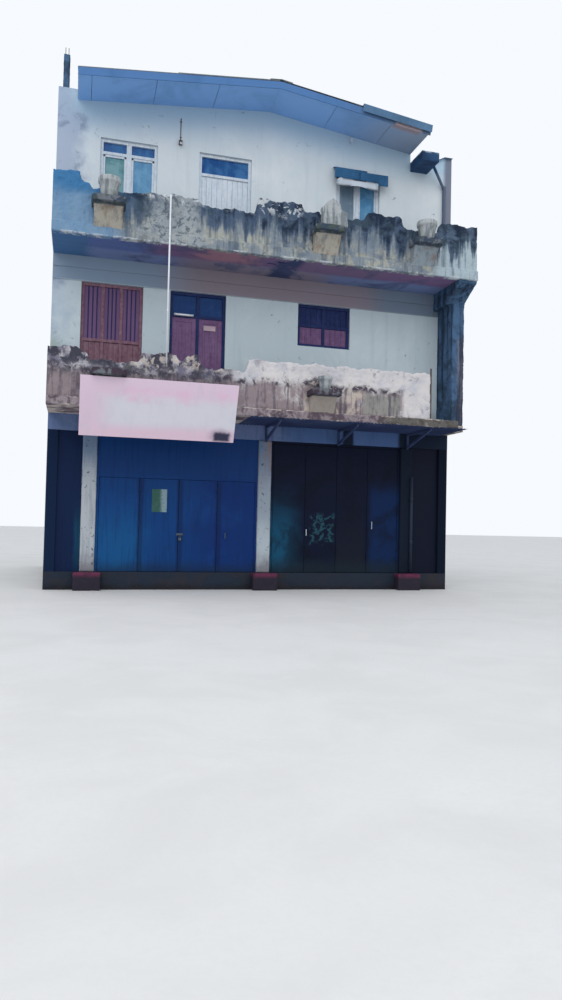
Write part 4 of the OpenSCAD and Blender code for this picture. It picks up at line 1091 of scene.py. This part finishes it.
# the first window's upper boards take the shaded joinery paint: painted shade over its upper half
joinery("first_window", "dark_maroon", [
    (0.5, [(board_light, "maroon")]*2), (0.5, [(board_light, "dark_maroon")]*2)])
joinery("back_door", "grey_steel", [(1.0, [(panel_light, "grey_steel")])])
joinery("plain_windows", "white_paint", [(1.0, [(sash_light, "blue_glass")]*2)])

# %% [markdown]
# ## Under the eaves
# The eaves are lined with flat sheets about 1.2 m wide, butted with narrow gaps. Boxes that
# follow each slope, cut at those joints, look right from the street, where their undersides
# are what shows.

# %% Line the eaves
SHEET_W, JOINT = 1.22, 0.008


def lined_eaves():
    """Sheets under the front overhang, following both slopes."""
    bm = bmesh.new()
    for low, high in solid_boxes("verge_soffit"):
        side = -1 if low.x < -1 else 1
        start, run = (high.x, high.x - low.x) if side < 0 else (low.x, high.x - low.x)
        fall = (high.z - low.z - 0.016)/run
        tilt = Matrix.Rotation(math.atan(side*fall), 4, "Y")
        place = Matrix.Translation((start, 0, high.z - 0.016)) @ tilt
        length = run/math.cos(math.atan(fall))
        edge = 0.0
        while edge < length - 0.05:
            far = min(edge + SHEET_W, length)
            x = sorted((side*edge, side*(far - JOINT)))
            block(bm, (x[0], low.y, 0.0), (x[1], high.y, 0.0155), 0.002, place)
            edge = far
    piece("eaves_lining", bm, "soffit", ["verge_soffit"])


lined_eaves()

# %% Line the underside of the upper balcony
LINING_T, BOARDS, WALL_BAND_T = 0.012, 5, 0.05


def lined_balcony():
    """Long boards under the upper balcony, parallel to the street, as far as the pier."""
    bm = bmesh.new()
    pier_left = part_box("right_pier")[0].x - 0.006
    step = (wall_face - WALL_BAND_T - balcony_face)/BOARDS
    for i in range(BOARDS):
        block(bm, (left_end + 0.01, balcony_face + i*step + 0.004, first_ceiling - LINING_T),
              (pier_left, balcony_face + (i + 1)*step - 0.004, first_ceiling - 0.0004), 0.003)
    piece("balcony_lining", bm, "lining")


lined_balcony()


def sagging_board():
    """A loose end of board that hangs from the lining over the first-floor door's right side."""
    bm = bmesh.new()
    for x, y, turn, length in ((-0.17, -3.98, 0.34, 0.34), (0.02, -4.1, 0.22, 0.42)):
        place = Matrix.Translation((x, y, first_ceiling - LINING_T)) @ Matrix.Rotation(math.pi + turn, 4, "X")
        block(bm, (0, -length, 0), (0.17, 0.01, 0.012), 0.003, place)
    piece("sagging_board", bm, "dark_maroon")


sagging_board()

# %% [markdown]
# ## The blinds over the right window
# Two ribbed blinds hang over a loose white sheet. The CAD shape of the blinds is right, so a
# merged copy takes their finish, and the sheet is a grid that hangs from them in soft folds.

# %% Hang the sheet under the blinds
SHEET_X, SHEET_DROP, SHEET_SAG = (1.46, 2.42), 0.13, 0.035


def blind_sheet():
    """The white sheet: it hangs from the ribbed blinds and its lower edge sags."""
    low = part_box("window_blind")[0]
    bm = bmesh.new()
    grid = bmesh.ops.create_grid(bm, x_segments=12, y_segments=3, size=0.5)["verts"]
    for vert in grid:
        along, down = vert.co.x + 0.5, 0.5 - vert.co.y
        sag = SHEET_SAG*math.sin(math.pi*along)
        vert.co = (SHEET_X[0] + along*(SHEET_X[1] - SHEET_X[0]), low.y + 0.03 + 0.03*down*math.sin(9*along),
                   low.z + 0.05 - down*(SHEET_DROP + 0.05 - sag))
    bmesh.ops.solidify(bm, geom=bm.faces[:], thickness=0.006)
    bmesh.ops.recalc_face_normals(bm, faces=bm.faces)
    sheet = piece("blind_sheet", bm, "blind_white", smooth=True)
    flat = (SHEET_X[1] - SHEET_X[0], SHEET_DROP + 0.05)


piece("ribbed_blinds", merged_copy("window_blind"), "blind", ["window_blind"])
blind_sheet()

# %% [markdown]
# ## Pots and the broken block
# Two large pots and a small one stand on the ledges, and a lump of broken masonry lies on the
# third. A pot is turned, so its profile is drawn once and spun; the lump is remeshed like the
# parapets. Each stands exactly where the CAD model keeps its place.

# %% Turn the pots and weather the block
def turned(bm, centre, profile, sides=48):
    """A solid turned about an upright axis, from radii and heights that start and end on it."""
    verts = [bm.verts.new((centre.x + radius, centre.y, height)) for radius, height in profile]
    edges = [bm.edges.new(pair) for pair in zip(verts, verts[1:])]
    bmesh.ops.spin(bm, geom=verts + edges, cent=(centre.x, centre.y, 0), axis=(0, 0, 1),
                   angle=2*math.pi, steps=sides)
    bmesh.ops.remove_doubles(bm, verts=bm.verts, dist=0.0005)
    bmesh.ops.recalc_face_normals(bm, faces=bm.faces)


BLOCK_W = 0.45
POT_SHAPE = ((0, 0), (0.64, 0), (0.68, 0.03), (0.80, 0.4), (0.9, 0.72), (0.99, 0.76), (1, 0.8),
             (1, 0.96), (0.97, 1), (0.86, 1), (0.82, 0.95), (0.8, 0.84), (0, 0.84))
SOIL_SHAPE = ((0, 0.8), (0.79, 0.8), (0.84, 0.97), (0.6, 1.03), (0, 1.06))


def pots():
    """Cast pots with rolled rims, and dry soil in them."""
    cast, soil = bmesh.new(), bmesh.new()
    for part, low, high in solids("ledge_pots"):
        if high.x - low.x > BLOCK_W:
            weathered("broken_block", part, 0.01, ((0.1, 0.03), (0.03, 0.012)), "pot")
            continue
        part.free()
        centre, radius, height = (low + high)/2, (high.x - low.x)/2, high.z - low.z
        for bm, shape in ((cast, POT_SHAPE), (soil, SOIL_SHAPE)):
            turned(bm, centre, [(r*radius, low.z + h*height) for r, h in shape])
    piece("pots", cast, "pot", ["ledge_pots"], smooth=True)
    piece("pot_soil", soil, "soil", smooth=True)


pots()

# %% [markdown]
# ## Roof sheets
# The roof is covered with corrugated sheets, about a metre wide, in two courses on each slope.
# Each overlaps its neighbour by one wave and the course below by a hand, and screws with
# washers hold it through the crests. Single sheets with real laps catch the light as a roof
# does, which one large wavy plate would not.

# %% Lay the corrugated sheets
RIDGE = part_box("second_front_wall")[1].z
SLOPES = {-1: math.radians(6.1), 1: math.radians(7.4)}
WAVE, WAVE_H, SHEET_T = 0.146, 0.036, 0.006
WAVES, FINENESS, MID_RISE = 8, 8, 0.08
COURSE_LAP, RIDGE_GAP = 0.16, 0.03
WASHER_R, SCREW_R = 0.016, 0.006


def slope_place(side, u, y, rise):
    """A place on one slope, u down from the ridge, with x pointing down the slope."""
    turn = Matrix.Rotation(SLOPES[1], 4, "Y") if side > 0 else (
        Matrix.Rotation(-SLOPES[-1], 4, "Y") @ Matrix.Rotation(math.pi, 4, "Z"))
    along = Vector((u, y if side > 0 else -y, rise))
    return Matrix.Translation((0, 0, RIDGE)) @ turn @ Matrix.Translation(along)


def corrugated_sheet(bm, place, length, width):
    """One sheet whose waves run down its length, with its thickness."""
    columns = round(width/WAVE*FINENESS)
    grid = bmesh.ops.create_grid(bm, x_segments=3, y_segments=columns, size=0.5)["verts"]
    for vert in grid:
        x, y = (vert.co.x + 0.5)*length, (vert.co.y + 0.5)*width
        vert.co = place @ Vector((x, y, math.sin(2*math.pi*y/WAVE)*WAVE_H/2))
    faces = list({face for vert in grid for face in vert.link_faces})
    bmesh.ops.solidify(bm, geom=faces, thickness=SHEET_T)


def roof_side(name, side, node):
    """Two courses of sheets on one slope, and the screws that hold them."""
    bm, screws = bmesh.new(), bmesh.new()
    low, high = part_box(node)
    length = (high.x - low.x)/math.cos(SLOPES[side]) - 0.012
    reach = (length + COURSE_LAP)/2
    cover = (WAVES - 1)*WAVE
    count = math.ceil((high.y - low.y - WAVE)/cover)
    for column in range(count):
        start = low.y + column*cover
        width = min(WAVES*WAVE, high.y - start)
        for course in (0, 1):
            u = RIDGE_GAP + (1 - course)*(length - reach)
            rise = MID_RISE + 0.0065*(column % 2) + 0.013*course
            y = start if side > 0 else start + width
            corrugated_sheet(bm, slope_place(side, u, y, rise), reach, width)
            for wave in range(1, WAVES - 1, 2):
                crest = start + (wave + 0.25)*WAVE
                for share in (0.1, 0.55, 0.93):
                    if crest < high.y - 0.05:
                        spot = slope_place(side, u + share*reach, crest, rise + WAVE_H/2)
                        for foot, head, radius, sides in (
                                (-0.004, 0.006, WASHER_R, 10), (0.004, 0.013, SCREW_R, 6)):
                            rod(screws, spot @ Vector((0, 0, foot)), spot @ Vector((0, 0, head)),
                                radius, sides)
    bmesh.ops.recalc_face_normals(bm, faces=bm.faces)
    piece(f"{name}_sheets", bm, "roof", [node], smooth=True)
    piece(f"{name}_screws", screws, "bare")


roof_side("left_roof", -1, "roof_sheet_left")
roof_side("right_roof", 1, "roof_sheet_right")

# %% [markdown]
# ## Small things on the front
# Fittings that a photograph shows and a solid model leaves out: a tube lamp and a bare plate at
# the first-floor door, a conduit and a lamp holder on the upper wall, handles, a hasp with its
# padlock and a blank bill on the shop doors, a thin post at the end of the first parapet, and
# two rods in the stub above the left pier. Each is a list of blocks and rods whose y is
# measured from the face that carries it, so one function fits them all.

# %% Fit the small things
PIPE_TOP, POST_TOP = second_floor + 0.78, 4.62
BARE_ROD, BARE_ROD_R = 0.16, 0.006
door_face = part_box("first_door")[0].y
leaf_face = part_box("left_shutter_leaves")[1].y - 0.036


def fitting(name, finish, face, blocks=(), rods=(), smooth=False):
    """A small fitting on a face. A block is its low and high corner and its rounding, and a
    rod its two ends, its radius and its number of sides."""
    bm, place = bmesh.new(), Matrix.Translation((0, face, 0))
    for low, high, rounding in blocks:
        block(bm, low, high, rounding, place)
    for start, end, radius, sides in rods:
        rod(bm, place @ Vector(start), place @ Vector(end), radius, sides)
    piece(name, bm, finish, smooth=smooth)


def at_the_first_door():
    """The tube lamp on its batten and the plate on the right leaf."""
    low, high, z = -1.86, -1.51, 5.57
    sockets = [((x, -0.07, z - 0.02), (x + 0.02, -0.02, z + 0.02), 0.004) for x in (low - 0.02, high)]
    fitting("lamp_tube", "tube", door_face, smooth=True,
            rods=[((low - 0.005, -0.048, z), (high + 0.005, -0.048, z), 0.015, 20)])
    fitting("lamp_batten", "blind_white", door_face, [
        ((low - 0.02, -0.03, z - 0.015), (high + 0.02, 0.01, z + 0.03), 0.004), *sockets])
    fitting("door_plate", "plate", door_face, [
        ((-1.27, 0.008, 5.3), (-1.02, 0.024, 5.4), 0.002)])


def on_the_upper_wall():
    """A conduit with a lamp holder, and a small fitting under the right eaves."""
    x = -1.85
    clips = [((x - 0.02, -0.018, z), (x + 0.02, 0.004, z + 0.014), 0.003) for z in (9.2, 9.52)]
    fitting("wall_conduit", "bare", wall_face, [
        *clips, ((x - 0.035, -0.05, 9.04), (x + 0.035, 0.004, 9.14), 0.008)], [
        ((x, -0.008, 9.14), (x, -0.008, 9.6), 0.008, 16)])
    fitting("lamp_holders", "blind_white", wall_face, [
        ((1.81, -0.07, 9.67), (1.87, 0.004, 9.76), 0.006)], [
        ((x, -0.04, 9.075), (x, -0.12, 9.03), 0.022, 16),
        ((1.84, -0.045, 9.69), (1.84, -0.075, 9.6), 0.02, 16)])


def handle(x, z, reach):
    """The rods of a pull handle: two stems and a grip."""
    stems = [((x, 0.002, z + end), (x, -0.04, z + end), 0.006, 12) for end in (-reach, reach)]
    return [*stems, ((x, -0.038, z - reach - 0.005), (x, -0.038, z + reach + 0.005), 0.008, 12)]


def on_the_shop_doors():
    """Handles, a hasp with a padlock, and the blank bill."""
    shackle = [((x, -0.02, 1.03), (x, -0.02, 1.1), 0.0045, 12) for x in (-1.66, -1.63)]
    fitting("door_ironwork", "grey_steel", leaf_face, [
        ((-1.72, -0.012, 1.09), (-1.58, 0.002, 1.13), 0.003),
        ((-1.675, -0.034, 0.985), (-1.615, -0.008, 1.04), 0.005)], [
        *handle(-0.72, 1.1, 0.05), *shackle,
        ((-1.665, -0.02, 1.098), (-1.625, -0.02, 1.098), 0.0045, 12)])
    fitting("door_handles", "blind_white", leaf_face,
            rods=handle(1.02, 1.2, 0.06) + handle(2.5, 1.38, 0.075))
    fitting("blank_bill", "bill", leaf_face, [
        ((-2.22, -0.003, 1.55), (-1.92, 0.001, 2.01), 0.0008)])


def pipes():
    """The thin pipe up to the broken upper parapet and the fat one beside the street column."""
    bm = bmesh.new()
    for low, high in solid_boxes("front_pipe"):
        centre, radius = (low + high)/2, (high.x - low.x)/2
        top = min(high.z, PIPE_TOP)
        rod(bm, (centre.x, centre.y, low.z), (centre.x, centre.y, top), radius, 24)
        for share in (0.3, 0.75):
            z = low.z + share*(top - low.z)
            rod(bm, (centre.x, centre.y, z), (centre.x, centre.y, z + 3*radius), radius*1.15, 24)
    piece("front_pipes", bm, "plastic", ["front_pipe"], smooth=True)


def post_and_rods():
    """The post at the parapet's end, and the concrete stub with its two bare rods."""
    iron, stub = bmesh.new(), bmesh.new()
    end_low, end_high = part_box("first_parapet")
    x, y = end_high.x + 0.025, end_low.y + 0.05
    rod(iron, (x, y, first_floor - 0.01), (x, y, POST_TOP), 0.018)
    low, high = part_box("roof_stub")
    concrete_top = high.z - BARE_ROD
    block(stub, low, (high.x, high.y, concrete_top))
    for share in (0.25, 0.75):
        x, y = low.x + share*(high.x - low.x), (low.y + high.y)/2
        rod(iron, (x, y, concrete_top - 0.05), (x, y, high.z), BARE_ROD_R, 12)
    piece("iron_post_and_rods", iron, "bare")
    weathered("roof_stub_worn", stub, 0.01, ((0.1, 0.012), (0.03, 0.006)), "moss",
              ["roof_stub"])


at_the_first_door()
on_the_upper_wall()
on_the_shop_doors()
pipes()
post_and_rods()
